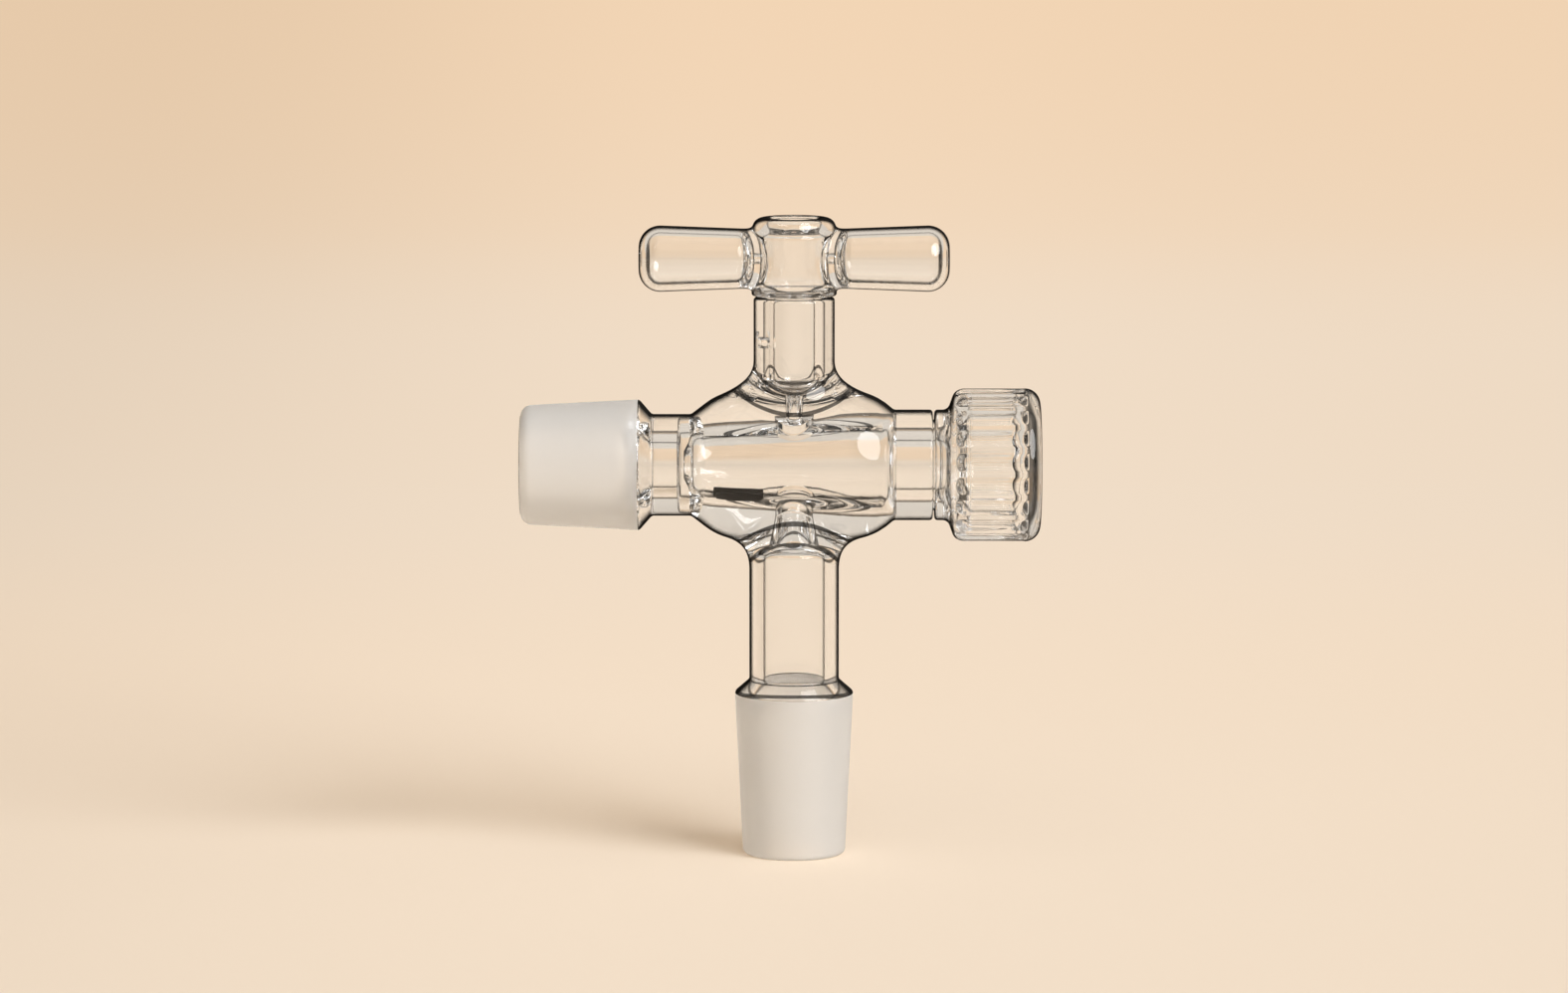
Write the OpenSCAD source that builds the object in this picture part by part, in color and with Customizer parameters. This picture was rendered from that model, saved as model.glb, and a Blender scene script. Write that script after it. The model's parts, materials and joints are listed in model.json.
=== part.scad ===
// Glass stopcock with two ground cone joints, a hollow tapered plug with a
// fluted knob, and a hollow vent key with a T handle.
// Millimetres. +Z up, the origin is the centre of the lower joint's foot,
// +X points from the side joint to the fluted knob.

/* [Ground joints] */
// Length over which a ground cone grows by 1 mm in diameter
cone_ratio = 10; // [8:0.5:14]
// Lower joint: diameter of the wide end
lower_joint_d = 18.8; // [17.5:0.1:24]
// Lower joint: length of the ground cone
lower_joint_len = 26; // [20:0.5:34]
// Lower joint: wall thickness
lower_joint_wall = 2.2; // [1.4:0.1:2.6]
// Side joint: diameter of the wide end
side_joint_d = 20.7; // [18.5:0.1:25]
// Side joint: length of the ground cone
side_joint_len = 18.8; // [12:0.2:28]
// Side joint: wall thickness
side_joint_wall = 2.3; // [1.4:0.1:2.8]
// Height of the shoulder between a ground cone and its neck
shoulder_len = 2; // [1.2:0.1:3.5]

/* [Necks] */
// Lower neck: outer diameter
lower_neck_d = 14.2; // [12:0.1:16]
// Lower neck: length from the joint's shoulder to the barrel
lower_neck_len = 22.4; // [14:0.2:36]
// Bore of the lower neck, and of the ports in the plug that line up with it
lower_bore_d = 5.9; // [4.4:0.1:6.6]
// Side neck: outer diameter
side_neck_d = 16.1; // [13:0.1:17.5]
// Side neck: length
side_neck_len = 5.6; // [3:0.2:14]
// Side neck: bore
side_bore_d = 7.3; // [5:0.1:8]
// Plug neck: outer diameter, shared by the plug's collar
plug_neck_d = 17.5; // [16.8:0.1:20]
// Plug neck: length
plug_neck_len = 5.9; // [3.5:0.1:10]
// Key neck: outer diameter
key_neck_d = 12.8; // [11.6:0.1:14.5]
// Key neck: length above the barrel
key_neck_len = 14.8; // [9:0.2:24]
// How far the fused fillets spread beyond the necks, onto the barrel
neck_fillet = 2.9; // [1.6:0.1:3.4]
// How far the same fillets climb up the necks
neck_fillet_climb = 2.6; // [1.4:0.1:4]

/* [Barrel] */
// Outer diameter of the barrel
barrel_d = 23.7; // [22.6:0.1:28]
// Distance from the vertical axis to the end of the long shoulder
barrel_side_len = 16.9; // [15.6:0.1:22]
// Distance from the vertical axis to the end of the short shoulder
barrel_plug_len = 16; // [15:0.1:20]
// Length of the long shoulder on the side joint's end
long_shoulder = 7.4; // [5.5:0.1:8]
// Length of the short shoulder on the plug's end
short_shoulder = 3.6; // [2.5:0.1:6]

/* [Plug] */
// Diameter of the ground seat at the barrel's open rim
seat_d = 14.4; // [13.8:0.1:15]
// Radial clearance between a ground plug and its seat
seat_clearance = 0.04; // [0.02:0.01:0.08]
// Gap between a rim and the collar above it
rim_gap = 0.3; // [0.15:0.05:0.6]
// Free space between the plug's domed tip and the bottom of the seat
tip_space = 0.5; // [0.3:0.1:2]
// Depth of the seat beyond the vertical axis
seat_depth = 18.4; // [17.4:0.1:20]
// Wall thickness of the hollow plug
plug_wall = 0.95; // [0.7:0.05:1.3]
// Thickness of the plug's domed tip
tip_wall = 3; // [1.4:0.1:4]
// Mouth in the middle of the domed tip, towards the side joint
plug_mouth_d = 4.4; // [3:0.1:5.4]
// Bore of the plug under the collar
shank_bore_d = 8; // [5:0.1:9]
// Length of the plug's hollow on the knob's side of the vertical axis
hollow_len = 14.3; // [12:0.1:16]
// Length of the plug's collar
collar_len = 2.1; // [1.2:0.1:5]
// Bleed slot in the plug: length
slot_len = 6.4; // [3:0.2:8]
// Bleed slot in the plug: width
slot_w = 1.2; // [0.8:0.1:1.8]
// Bleed slot in the plug: distance of its middle from the ports
slot_offset = 8.2; // [7:0.1:9.4]
// Bleed slot in the plug: angle below the horizontal
slot_angle = 40; // [20:1:60]

/* [Fluted knob] */
// How far the knob's ridges stand out beyond the barrel
knob_rise = 0.25; // [0:0.05:2.5]
// Length of the knob
knob_len = 14.6; // [11:0.2:22]
// Number of flutes
flutes = 20; // [12:1:26]
// Depth of a flute
flute_depth = 0.6; // [0.3:0.05:0.9]
// Width of the ridge between two flutes
ridge_w = 0.9; // [0.5:0.1:1.4]
// Wall thickness of the knob
knob_wall = 3.4; // [2.2:0.1:4.5]
// Rounding of the knob's outer end
knob_end_r = 2.4; // [1:0.1:3.5]
// Rounding of the knob's inner end
knob_back_r = 1.9; // [0.8:0.1:2.4]
// Length over which the collar flares out to the knob
knob_flare = 1.2; // [0.8:0.1:2]

/* [Vent key] */
// Diameter of the key's ground seat at the neck's rim
key_seat_d = 9.4; // [8.8:0.1:10]
// Bore of the key's ground plug
key_bore_d = 5.8; // [4.4:0.1:6.2]
// Depth of the key's tip below the top of the barrel
key_tip_depth = 0.3; // [0:0.1:1.2]
// Thickness of the key's closed tip
key_tip_wall = 1.2; // [0.8:0.1:2]
// Free space between the key's tip and the bottom of its seat
key_tip_space = 0.7; // [0.4:0.1:1.4]
// Diameter of the passage between the two seats
vent_d = 2.4; // [1.4:0.1:3.4]
// Diameter of the port in the key, and width of the groove that it meets
key_port_d = 1.8; // [1.2:0.1:2.4]
// Height of the key's port above its tip
key_port_h = 8; // [5.5:0.1:10]
// Depth of the groove in the key's seat
groove_depth = 0.7; // [0.4:0.05:0.9]
// Outer diameter of the hub
hub_d = 13.2; // [12:0.1:14]
// Diameter of the hub's foot above the neck's rim
hub_foot_d = 13.5; // [12.8:0.1:14.4]
// Height over which the foot flares into the hub
hub_flare = 1.9; // [1:0.1:3]
// Height of the hub, foot to open rim
hub_h = 12.3; // [11.8:0.1:18]
// Bore of the hub
hub_bore_d = 8; // [6.6:0.1:8.6]
// Rounding of the hub's open rim
hub_rim_r = 1.7; // [0.6:0.1:2]
// Height of the handle's axis above the hub's foot
handle_h = 5.8; // [5.6:0.1:6.4]
// Length of the T handle, end to end
handle_span = 49; // [36:0.5:64]
// Handle diameter at the hub
handle_root_d = 9.5; // [8.4:0.1:10]
// Handle diameter at the ends
handle_end_d = 10.7; // [9:0.1:12.5]
// Wall thickness of the handle
handle_wall = 1.1; // [0.8:0.05:1.4]
// Rounding of the handle's closed ends
handle_end_r = 3.4; // [2:0.1:4.2]
// How far the fused fillets of the handle spread over the hub
handle_fillet = 0.6; // [0.3:0.1:0.8]
// Glass between the hub's bore and the hollow of an arm
handle_root_wall = 2.3; // [1.6:0.1:3]
// Rounding of that hollow's end at the hub
handle_root_r = 3; // [1:0.1:3.6]
// Blow hole from the hub into the hollow of an arm
blow_hole_d = 1.2; // [0.8:0.1:1.8]

/* [Hidden] */

clear_glass = [0.86, 0.90, 0.88, 0.45];
plug_glass = [0.78, 0.88, 0.92, 0.6];
key_glass = [0.90, 0.92, 0.80, 0.6];

// Roundness of the round surfaces, and of the corners of an outline
$fn = 96;
arc_error = 0.02;
// Facets round and along a fused fillet
fillet_sides = 48;
fillet_steps = 6;
// Overlap by which a cut clears a face, and by which a fillet sinks in
cut = 1;
sink = 0.06;
// Small roundings and chamfers of the ground and fire-polished edges
edge_r = 0.8;
side_end_r = 2;
crease_r = 1;
rim_r = 0.5;
lip = 0.4;
long_shoulder_r = 4;
short_shoulder_r = 11;
cavity_r = 2.5;

cone_slope = 0.5 / cone_ratio;
barrel_r = barrel_d / 2;
joint_top = lower_joint_len + shoulder_len;
axis_z = joint_top + lower_neck_len + barrel_r;
barrel_top = axis_z + barrel_r;
key_rim_z = barrel_top + key_neck_len;
plug_rim_x = barrel_plug_len + plug_neck_len;
side_joint_x = -barrel_side_len - side_neck_len - shoulder_len;
side_end_x = side_joint_x - side_joint_len;

plug_tip_x = tip_space - seat_depth;
collar_x = plug_rim_x + rim_gap;
knob_d = barrel_d + 2 * knob_rise;
knob_x = collar_x + collar_len;
knob_end_x = knob_x + knob_len;

key_tip_z = barrel_top - key_tip_depth;
hub_z = key_rim_z + rim_gap;
hub_top = hub_z + hub_h;
handle_z = hub_z + handle_h;
port_z = key_tip_z + key_port_h;

// Radii of the two ground seats, at a place along their axes
function seat_r(x) = seat_d / 2 + (x - plug_rim_x) * cone_slope;
function key_seat_r(z) = key_seat_d / 2 + (z - key_rim_z) * cone_slope;

// ---- Outlines ----

function unit(v) = v / norm(v);
function turned(v, a) = [v[0] * cos(a) - v[1] * sin(a), v[0] * sin(a) + v[1] * cos(a)];
function flat(p) = [p[0], p[1]];
function corner_r(p) = len(p) > 2 ? p[2] : 0;
// Length of an edge that a corner may use: two corners share it by their radii
function edge_share(b, a) = norm(flat(a) - flat(b)) * corner_r(b) / (corner_r(a) + corner_r(b));

// The corner b of the path a, b, c as the points of a tangent arc
function corner(a, b, c) =
    corner_r(b) == 0 ? [flat(b)] :
    let (u = unit(flat(a) - flat(b)), v = unit(flat(c) - flat(b)),
         half = acos(u * v) / 2,
         tangent = min(corner_r(b) / tan(half), edge_share(b, a), edge_share(b, c)),
         centre = flat(b) + unit(u + v) * tangent / cos(half),
         from_centre = flat(b) + u * tangent - centre,
         sweep = (180 - 2 * half) * (cross(u, v) > 0 ? -1 : 1),
         steps = ceil(abs(sweep) / (2 * acos(1 - arc_error / norm(from_centre)))))
    [for (i = [0:steps]) centre + turned(from_centre, sweep * i / steps)];

// A closed outline of [radius, height, corner radius] points, corners rounded
function rounded(p) = [
    for (i = [0:len(p) - 1])
        each corner(p[(i + len(p) - 1) % len(p)], p[i], p[(i + 1) % len(p)])];

module turned_z(outline) rotate_extrude() polygon(rounded(outline));
module turned_x(outline) translate([0, 0, axis_z]) rotate([0, 90, 0]) turned_z(outline);

// ---- Fused fillet where a round branch leaves a round main tube ----

// A point a little under the main tube's surface, at a given distance and angle
// from the branch's axis. The tube lies along X and is a table of [x, radius].
function on_main(tube, under, d, a) =
    let (main_r = lookup(d * cos(a), tube) - under)
    [d * cos(a), d * sin(a), sqrt(main_r * main_r - pow(d * sin(a), 2))];

function bezier(p, q, r, t) = p * (1 - t) * (1 - t) + q * 2 * t * (1 - t) + r * t * t;

// Section of the fillet at one angle: a curve that leaves the branch's wall and
// meets the main tube without a crease, and a point buried in the glass that closes it
function fillet_section(branch_r, tube, spread, climb, a) =
    let (wall_p = on_main(tube, sink, branch_r - sink, a),
         foot_p = on_main(tube, sink, branch_r + spread, a),
         past_p = on_main(tube, sink, branch_r + spread + sink, a),
         bend_z = foot_p[2] + (foot_p[2] - past_p[2]) / sink * (spread + sink),
         buried = on_main(tube, 2 * spread / 3, branch_r - spread / 2, a))
    concat([for (i = [0:fillet_steps])
               bezier(wall_p + [0, 0, climb], [wall_p[0], wall_p[1], bend_z], foot_p, i / fillet_steps)],
           [buried]);

// The branch points along +Z
module saddle_fillet(branch_r, tube, spread, climb) {
    ring = fillet_steps + 2;
    points = [for (k = [0:fillet_sides - 1])
        each fillet_section(branch_r, tube, spread, climb, 360 * k / fillet_sides)];
    faces = [for (k = [0:fillet_sides - 1], i = [0:ring - 1])
        let (a = k * ring, b = (k + 1) % fillet_sides * ring, j = (i + 1) % ring)
        each [[a + i, b + i, b + j], [a + i, b + j, a + j]]];
    polyhedron(points, faces, convexity = 6);
}

// ---- Body ----

barrel_outline = [
    [0, side_end_x],
    [side_joint_d / 2 - side_joint_len * cone_slope, side_end_x, side_end_r],
    [side_joint_d / 2, side_joint_x, edge_r],
    [side_neck_d / 2, side_joint_x + shoulder_len, edge_r],
    [side_neck_d / 2, -barrel_side_len, crease_r],
    [barrel_r, long_shoulder - barrel_side_len, long_shoulder_r],
    [barrel_r, barrel_plug_len - short_shoulder, short_shoulder_r],
    [plug_neck_d / 2, barrel_plug_len, crease_r],
    [plug_neck_d / 2, plug_rim_x, rim_r],
    [0, plug_rim_x]];

// The barrel's outside as a table of [x, radius]
barrel_table = [for (p = rounded(barrel_outline)) [p[1], p[0]]];

module lower_outside() {
    joint_r = lower_joint_d / 2;
    turned_z([
        [0, 0],
        [joint_r - lower_joint_len * cone_slope, 0, edge_r],
        [joint_r, lower_joint_len, edge_r],
        [lower_neck_d / 2, joint_top, edge_r],
        [lower_neck_d / 2, axis_z],
        [0, axis_z]]);
}

module key_neck_outside() {
    turned_z([
        [0, axis_z],
        [key_neck_d / 2, axis_z],
        [key_neck_d / 2, key_rim_z, rim_r],
        [0, key_rim_z]]);
}

// Inside of a ground joint and its neck, from the mouth at 0 to a given depth
function joint_inside(joint_d, joint_len, wall, bore_d, depth) =
    let (mouth_r = joint_d / 2 - joint_len * cone_slope - wall,
         deep = joint_len - wall,
         deep_r = mouth_r + deep * cone_slope)
    [[0, -cut],
     [mouth_r + lip + cut, -cut],
     [mouth_r, lip],
     [deep_r, deep, cavity_r],
     [bore_d / 2, joint_len + shoulder_len / 2, cavity_r / 2],
     [bore_d / 2, depth],
     [0, depth]];

module seat_bore() {
    turned_x([
        [0, -seat_depth],
        [seat_r(-seat_depth), -seat_depth, rim_r],
        [seat_r(plug_rim_x - lip), plug_rim_x - lip],
        [seat_r(plug_rim_x) + cut, plug_rim_x + cut],
        [0, plug_rim_x + cut]]);
}

// The key's seat, its chamber, the passage down to the plug and the groove
module key_bore() {
    bottom = key_tip_z - key_tip_space;
    turned_z([
        [0, bottom],
        [key_seat_r(bottom), bottom, cavity_r],
        [key_seat_r(key_rim_z - lip), key_rim_z - lip],
        [key_seat_r(key_rim_z) + cut, key_rim_z + cut],
        [0, key_rim_z + cut]]);
    translate([0, 0, axis_z])
        cylinder(d = vent_d, h = bottom - axis_z + cut);
    groove_bottom = key_tip_z + cavity_r;
    translate([-key_seat_r(groove_bottom) - groove_depth + key_port_d / 2, 0, groove_bottom - key_port_d])
        cylinder(d = key_port_d, h = port_z - groove_bottom + 2 * key_port_d);
}

module body() color(clear_glass) difference() {
    union() {
        turned_x(barrel_outline);
        lower_outside();
        key_neck_outside();
        translate([0, 0, axis_z]) {
            saddle_fillet(key_neck_d / 2, barrel_table, neck_fillet, neck_fillet_climb);
            rotate([180, 0, 0])
                saddle_fillet(lower_neck_d / 2, barrel_table, neck_fillet, neck_fillet_climb);
        }
    }
    translate([side_end_x, 0, 0])
        turned_x(joint_inside(side_joint_d, side_joint_len, side_joint_wall, side_bore_d,
            cut - seat_depth - side_end_x));
    turned_z(joint_inside(lower_joint_d, lower_joint_len, lower_joint_wall, lower_bore_d, axis_z));
    seat_bore();
    key_bore();
}

// ---- Plug with its fluted knob ----

function plug_r(x) = seat_r(x) - seat_clearance;

// A flute is the arc that cuts flute_depth deep between two ridges
module fluted_disc() {
    knob_r = knob_d / 2;
    half_w = (PI * knob_d / flutes - ridge_w) / 2;
    flute_r = (half_w * half_w + flute_depth * flute_depth) / (2 * flute_depth);
    difference() {
        circle(r = knob_r + cut);
        for (i = [0:flutes - 1])
            rotate(360 * (i + 0.5) / flutes)
                translate([knob_r - flute_depth + flute_r, 0])
                    circle(r = flute_r);
    }
}

module knob_outside() {
    collar_r = plug_neck_d / 2;
    intersection() {
        turned_x([
            [0, knob_x],
            [collar_r, knob_x, knob_flare],
            [knob_d / 2, knob_x + knob_flare, knob_back_r],
            [knob_d / 2, knob_end_x, knob_end_r],
            [0, knob_end_x]]);
        translate([knob_x - cut, 0, axis_z]) rotate([0, 90, 0])
            linear_extrude(knob_len + 2 * cut) fluted_disc();
    }
}

module plug() color(plug_glass) difference() {
    collar_r = plug_neck_d / 2;
    union() {
        turned_x([
            [0, plug_tip_x],
            [plug_r(plug_tip_x), plug_tip_x, plug_r(plug_tip_x)],
            [plug_r(collar_x), collar_x],
            [collar_r, collar_x, rim_r],
            [collar_r, knob_x + cut],
            [0, knob_x + cut]]);
        knob_outside();
    }
    knob_cavity_r = knob_d / 2 - knob_wall;
    hollow_tip_r = plug_r(plug_tip_x + tip_wall) - plug_wall;
    turned_x([
        [0, plug_tip_x - cut],
        [plug_mouth_d / 2, plug_tip_x - cut],
        [plug_mouth_d / 2, plug_tip_x + tip_wall, lip],
        [hollow_tip_r, plug_tip_x + tip_wall, hollow_tip_r],
        [plug_r(hollow_len) - plug_wall, hollow_len, cavity_r],
        [shank_bore_d / 2, hollow_len, lip],
        [shank_bore_d / 2, knob_x, cavity_r],
        [knob_cavity_r, knob_x + knob_wall, cavity_r],
        [knob_cavity_r, knob_end_x - knob_wall, cavity_r],
        [0, knob_end_x - knob_wall]]);
    translate([0, 0, axis_z - seat_d / 2])
        cylinder(d = lower_bore_d, h = seat_d);
    bleed_slot();
}

module bleed_slot() {
    translate([-slot_offset, 0, axis_z]) rotate([90 + slot_angle, 0, 0]) {
        straight = slot_len - slot_w;
        for (x = [-straight / 2, straight / 2])
            translate([x, 0, 0]) cylinder(d = slot_w, h = seat_d);
        translate([-straight / 2, -slot_w / 2, 0]) cube([straight, slot_w, seat_d]);
    }
}

// ---- Vent key with its T handle ----

function key_r(z) = key_seat_r(z) - seat_clearance;

module handle() {
    end_x = handle_span / 2;
    end_r = handle_end_d / 2;
    root_r = handle_root_d / 2;
    translate([0, 0, handle_z]) rotate([0, 90, 0]) turned_z([
        [0, -end_x],
        [end_r, -end_x, handle_end_r],
        [root_r, -hub_d / 2],
        [root_r, hub_d / 2],
        [end_r, end_x, handle_end_r],
        [0, end_x]]);
}

hub_outline = [
    [0, key_tip_z],
    [key_r(key_tip_z), key_tip_z, cavity_r],
    [key_r(hub_z), hub_z],
    [hub_foot_d / 2, hub_z, rim_r],
    [hub_d / 2, hub_z + hub_flare, hub_flare],
    [hub_d / 2, hub_top, hub_rim_r],
    [0, hub_top]];

// The hub's outside as a table of [height over the handle's axis, radius]
hub_table = [for (p = rounded(hub_outline)) [p[1] - handle_z, p[0]]];

module hub_inside() {
    bottom = key_tip_z + key_tip_wall;
    turned_z([
        [0, bottom],
        [key_bore_d / 2, bottom, key_bore_d / 2],
        [key_bore_d / 2, hub_z, edge_r],
        [hub_bore_d / 2, hub_z + edge_r, edge_r],
        [hub_bore_d / 2, hub_top - lip],
        [hub_bore_d / 2 + lip + cut, hub_top + cut],
        [0, hub_top + cut]]);
}

// The hollows of the two arms, domed at both ends, each blown through a small
// hole from the hub
module handle_inside() {
    start_x = hub_bore_d / 2 + handle_root_wall;
    end_x = handle_span / 2 - handle_wall;
    end_r = handle_end_d / 2 - handle_wall;
    root_r = handle_root_d / 2 - handle_wall;
    for (side = [90, -90]) translate([0, 0, handle_z]) rotate([0, side, 0]) {
        turned_z([
            [0, start_x],
            [root_r, start_x, handle_root_r],
            [end_r, end_x, handle_end_r - handle_wall],
            [0, end_x]]);
        cylinder(d = blow_hole_d, h = start_x + cut);
    }
}

module vent_key() color(key_glass) difference() {
    union() {
        turned_z(hub_outline);
        handle();
        translate([0, 0, handle_z])
            for (side = [0, 180])
                rotate([0, -90, side])
                    saddle_fillet(handle_root_d / 2, hub_table, handle_fillet, 2 * handle_fillet);
    }
    hub_inside();
    handle_inside();
    translate([-hub_d / 2, 0, port_z]) rotate([0, 90, 0])
        cylinder(d = key_port_d, h = hub_d / 2);
}

body();
plug();
vent_key();
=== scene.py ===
"""Glass stopcock: the dressed part, its floor, its light and its camera.

Laid out as an add-on. Sizes are in metres in the property groups and in
millimetres inside the shape functions. +Z is up, the origin is the centre of
the lower joint's foot, +X points from the side joint to the fluted knob.
"""

import json
import math
from types import SimpleNamespace
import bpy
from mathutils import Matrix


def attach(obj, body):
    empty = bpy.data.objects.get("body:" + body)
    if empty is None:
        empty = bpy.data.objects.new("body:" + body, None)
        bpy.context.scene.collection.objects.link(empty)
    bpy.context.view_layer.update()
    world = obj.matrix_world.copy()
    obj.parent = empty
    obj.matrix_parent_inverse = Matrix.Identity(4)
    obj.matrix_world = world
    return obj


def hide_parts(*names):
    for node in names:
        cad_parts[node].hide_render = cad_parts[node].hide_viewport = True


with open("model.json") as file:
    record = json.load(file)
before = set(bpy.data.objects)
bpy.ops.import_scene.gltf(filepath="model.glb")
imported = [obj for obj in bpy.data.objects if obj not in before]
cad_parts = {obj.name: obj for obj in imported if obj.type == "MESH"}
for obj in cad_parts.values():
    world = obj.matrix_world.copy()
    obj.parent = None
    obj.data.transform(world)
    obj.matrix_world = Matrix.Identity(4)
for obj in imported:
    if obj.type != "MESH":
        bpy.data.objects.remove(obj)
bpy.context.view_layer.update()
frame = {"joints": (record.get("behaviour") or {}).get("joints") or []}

import bmesh
import bpy
import numpy as np
from bpy.props import FloatProperty, FloatVectorProperty, IntProperty, PointerProperty
from mathutils import Vector

bl_info = {
    "name": "Glass stopcock",
    "version": (1, 0, 0),
    "blender": (4, 5, 0),
    "location": "3D View > Sidebar > Stopcock",
    "description": "Builds a glass stopcock with ground joints, a fluted hollow plug and a vent key",
    "category": "Add Mesh",
}

# Height of the plug's axis over the foot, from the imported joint, in millimetres and in metres
AXIS_Z = next(j["pos_m"][2] for j in frame["joints"] if j["name"] == "plug_turn") * 1000
AXIS = AXIS_Z / 1000


# ---- Sizes and colours ----


def size(name, text, mm):
    """A length, given in millimetres and kept in metres."""
    return FloatProperty(name=name, description=text, default=mm / 1000, min=0, precision=5, unit="LENGTH")


def colour(name, text, rgb):
    """A colour, in linear light."""
    return FloatVectorProperty(
        name=name, description=text, default=rgb, min=0, max=1, size=3, subtype="COLOR")


def number(name, text, value, low=0.0, high=1.0):
    """A plain number between two bounds."""
    return FloatProperty(name=name, description=text, default=value, min=low, max=high)


class StopcockBody(bpy.types.PropertyGroup):
    """Sizes of the one-piece glass body"""

    barrel_d: size("Barrel diameter", "Outer diameter of the barrel", 23.7)
    barrel_side_len: size("Barrel, side end", "From the vertical axis to the long shoulder's end", 16.3)
    barrel_plug_len: size("Barrel, plug end", "From the vertical axis to the short shoulder's end", 15.75)
    long_shoulder: size("Long shoulder", "Length of the shoulder on the side joint's end", 5)
    short_shoulder: size("Short shoulder", "Length of the shoulder on the plug's end", 3.35)
    lower_joint_d: size("Lower joint diameter", "Wide end of the lower ground cone", 18.8)
    lower_joint_len: size("Lower joint length", "Length of the lower ground cone", 26)
    lower_joint_wall: size("Lower joint wall", "Wall thickness of the lower joint", 2.2)
    side_joint_d: size("Side joint diameter", "Wide end of the side ground cone", 20.7)
    side_joint_len: size("Side joint length", "Length of the side ground cone", 18.8)
    side_joint_wall: size("Side joint wall", "Wall thickness of the side joint", 2.3)
    shoulder_len: size("Joint shoulder", "Height of the shoulder between a cone and its neck", 2)
    lower_neck_d: size("Lower neck diameter", "Outer diameter of the lower neck", 14.2)
    lower_bore_d: size("Lower port", "Bore of the body's lower port and of the plug's ports", 5.9)
    neck_bore_d: size("Lower neck bore", "Bore of the blown lower neck", 9.8)
    side_neck_d: size("Side neck diameter", "Outer diameter of the side neck", 16.1)
    side_neck_len: size("Side neck length", "Length of the side neck", 6.2)
    side_bore_d: size("Side bore", "Bore of the side neck", 7.3)
    plug_neck_d: size("Plug neck diameter", "Outer diameter of the plug's neck and collar", 17.5)
    plug_neck_len: size("Plug neck length", "Length of the plug's neck", 6.15)
    key_neck_d: size("Key neck diameter", "Outer diameter of the key's neck", 12.8)
    key_neck_len: size("Key neck length", "Length of the key's neck above the barrel", 14.8)
    key_fillet: size("Key neck fillet", "How far its fused fillet spreads along the barrel", 5.5)
    lower_fillet: size("Lower neck fillet", "How far its fused fillet spreads along the barrel", 3.8)
    round_fillet: size("Fillet round the barrel", "How far both fillets spread round the barrel", 2.9)
    fillet_climb: size("Fillet climb", "How far both fillets climb on the sides along the barrel", 4.8)
    round_fillet_climb: size("Fillet climb, front", "How far both fillets climb in front and behind", 2.9)
    seat_d: size("Plug seat", "Diameter of the plug's ground seat at the open rim", 14.4)
    seat_depth: size("Plug seat depth", "Depth of the seat beyond the vertical axis", 18.4)
    key_seat_d: size("Key seat", "Diameter of the key's ground seat at the rim", 9.4)
    key_tip_depth: size("Key tip depth", "Depth of the key's tip below the barrel's top", 0.3)
    key_tip_space: size("Space under the key", "Between the key's tip and the bottom of its seat", 0.7)
    vent_d: size("Vent passage", "Diameter of the passage between the two seats", 2.4)
    groove_depth: size("Groove depth", "Depth of the groove in the key's seat", 0.7)
    clearance: size("Seat clearance", "Radial clearance of a ground plug in its seat", 0.04)
    rim_gap: size("Rim gap", "Gap between a rim and the collar above it", 0.3)


class StopcockPlug(bpy.types.PropertyGroup):
    """Sizes of the hollow plug and its fluted knob"""

    tip_space: size("Space at the tip", "Between the domed tip and the bottom of the seat", 0.5)
    wall: size("Plug wall", "Wall thickness of the hollow plug", 0.95)
    tip_wall: size("Tip wall", "Thickness of the domed tip", 3)
    mouth_d: size("Mouth", "Diameter of the mouth in the domed tip", 4.4)
    shank_bore_d: size("Shank bore", "Bore of the plug under the collar", 8)
    hollow_len: size("Hollow length", "Length of the hollow on the knob's side of the vertical axis", 14.3)
    collar_len: size("Collar length", "Length of the plug's collar", 2.1)
    slot_len: size("Slot length", "Length of the bleed slot", 6.4)
    slot_w: size("Slot width", "Width of the bleed slot", 1.2)
    slot_offset: size("Slot offset", "From the ports to the middle of the bleed slot", 8.2)
    slot_angle: number("Slot angle", "Degrees below the horizontal", 40, 20, 60)
    knob_rise: size("Knob rise", "How far the knob's ridges stand out beyond the barrel", 0.25)
    knob_len: size("Knob length", "Length of the fluted knob", 14.6)
    flutes: IntProperty(
        name="Flutes", description="Number of flutes, a multiple of four", default=20, min=12, max=28)
    flute_depth: size("Flute depth", "Depth of a flute", 0.6)
    ridge_w: size("Ridge width", "Width of the ridge between two flutes", 0.9)
    knob_wall: size("Knob wall", "Wall thickness of the knob", 2.2)
    knob_end_r: size("Outer rounding", "Rounding of the knob's outer end", 2.4)
    flute_stop: size("Flute end", "Length over which the flutes run out before the outer end", 0.7)
    knob_back_r: size("Inner rounding", "Rounding of the knob's inner end", 1.9)
    knob_flare: size("Flare", "Length over which the collar flares out to the knob", 1.2)


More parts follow.
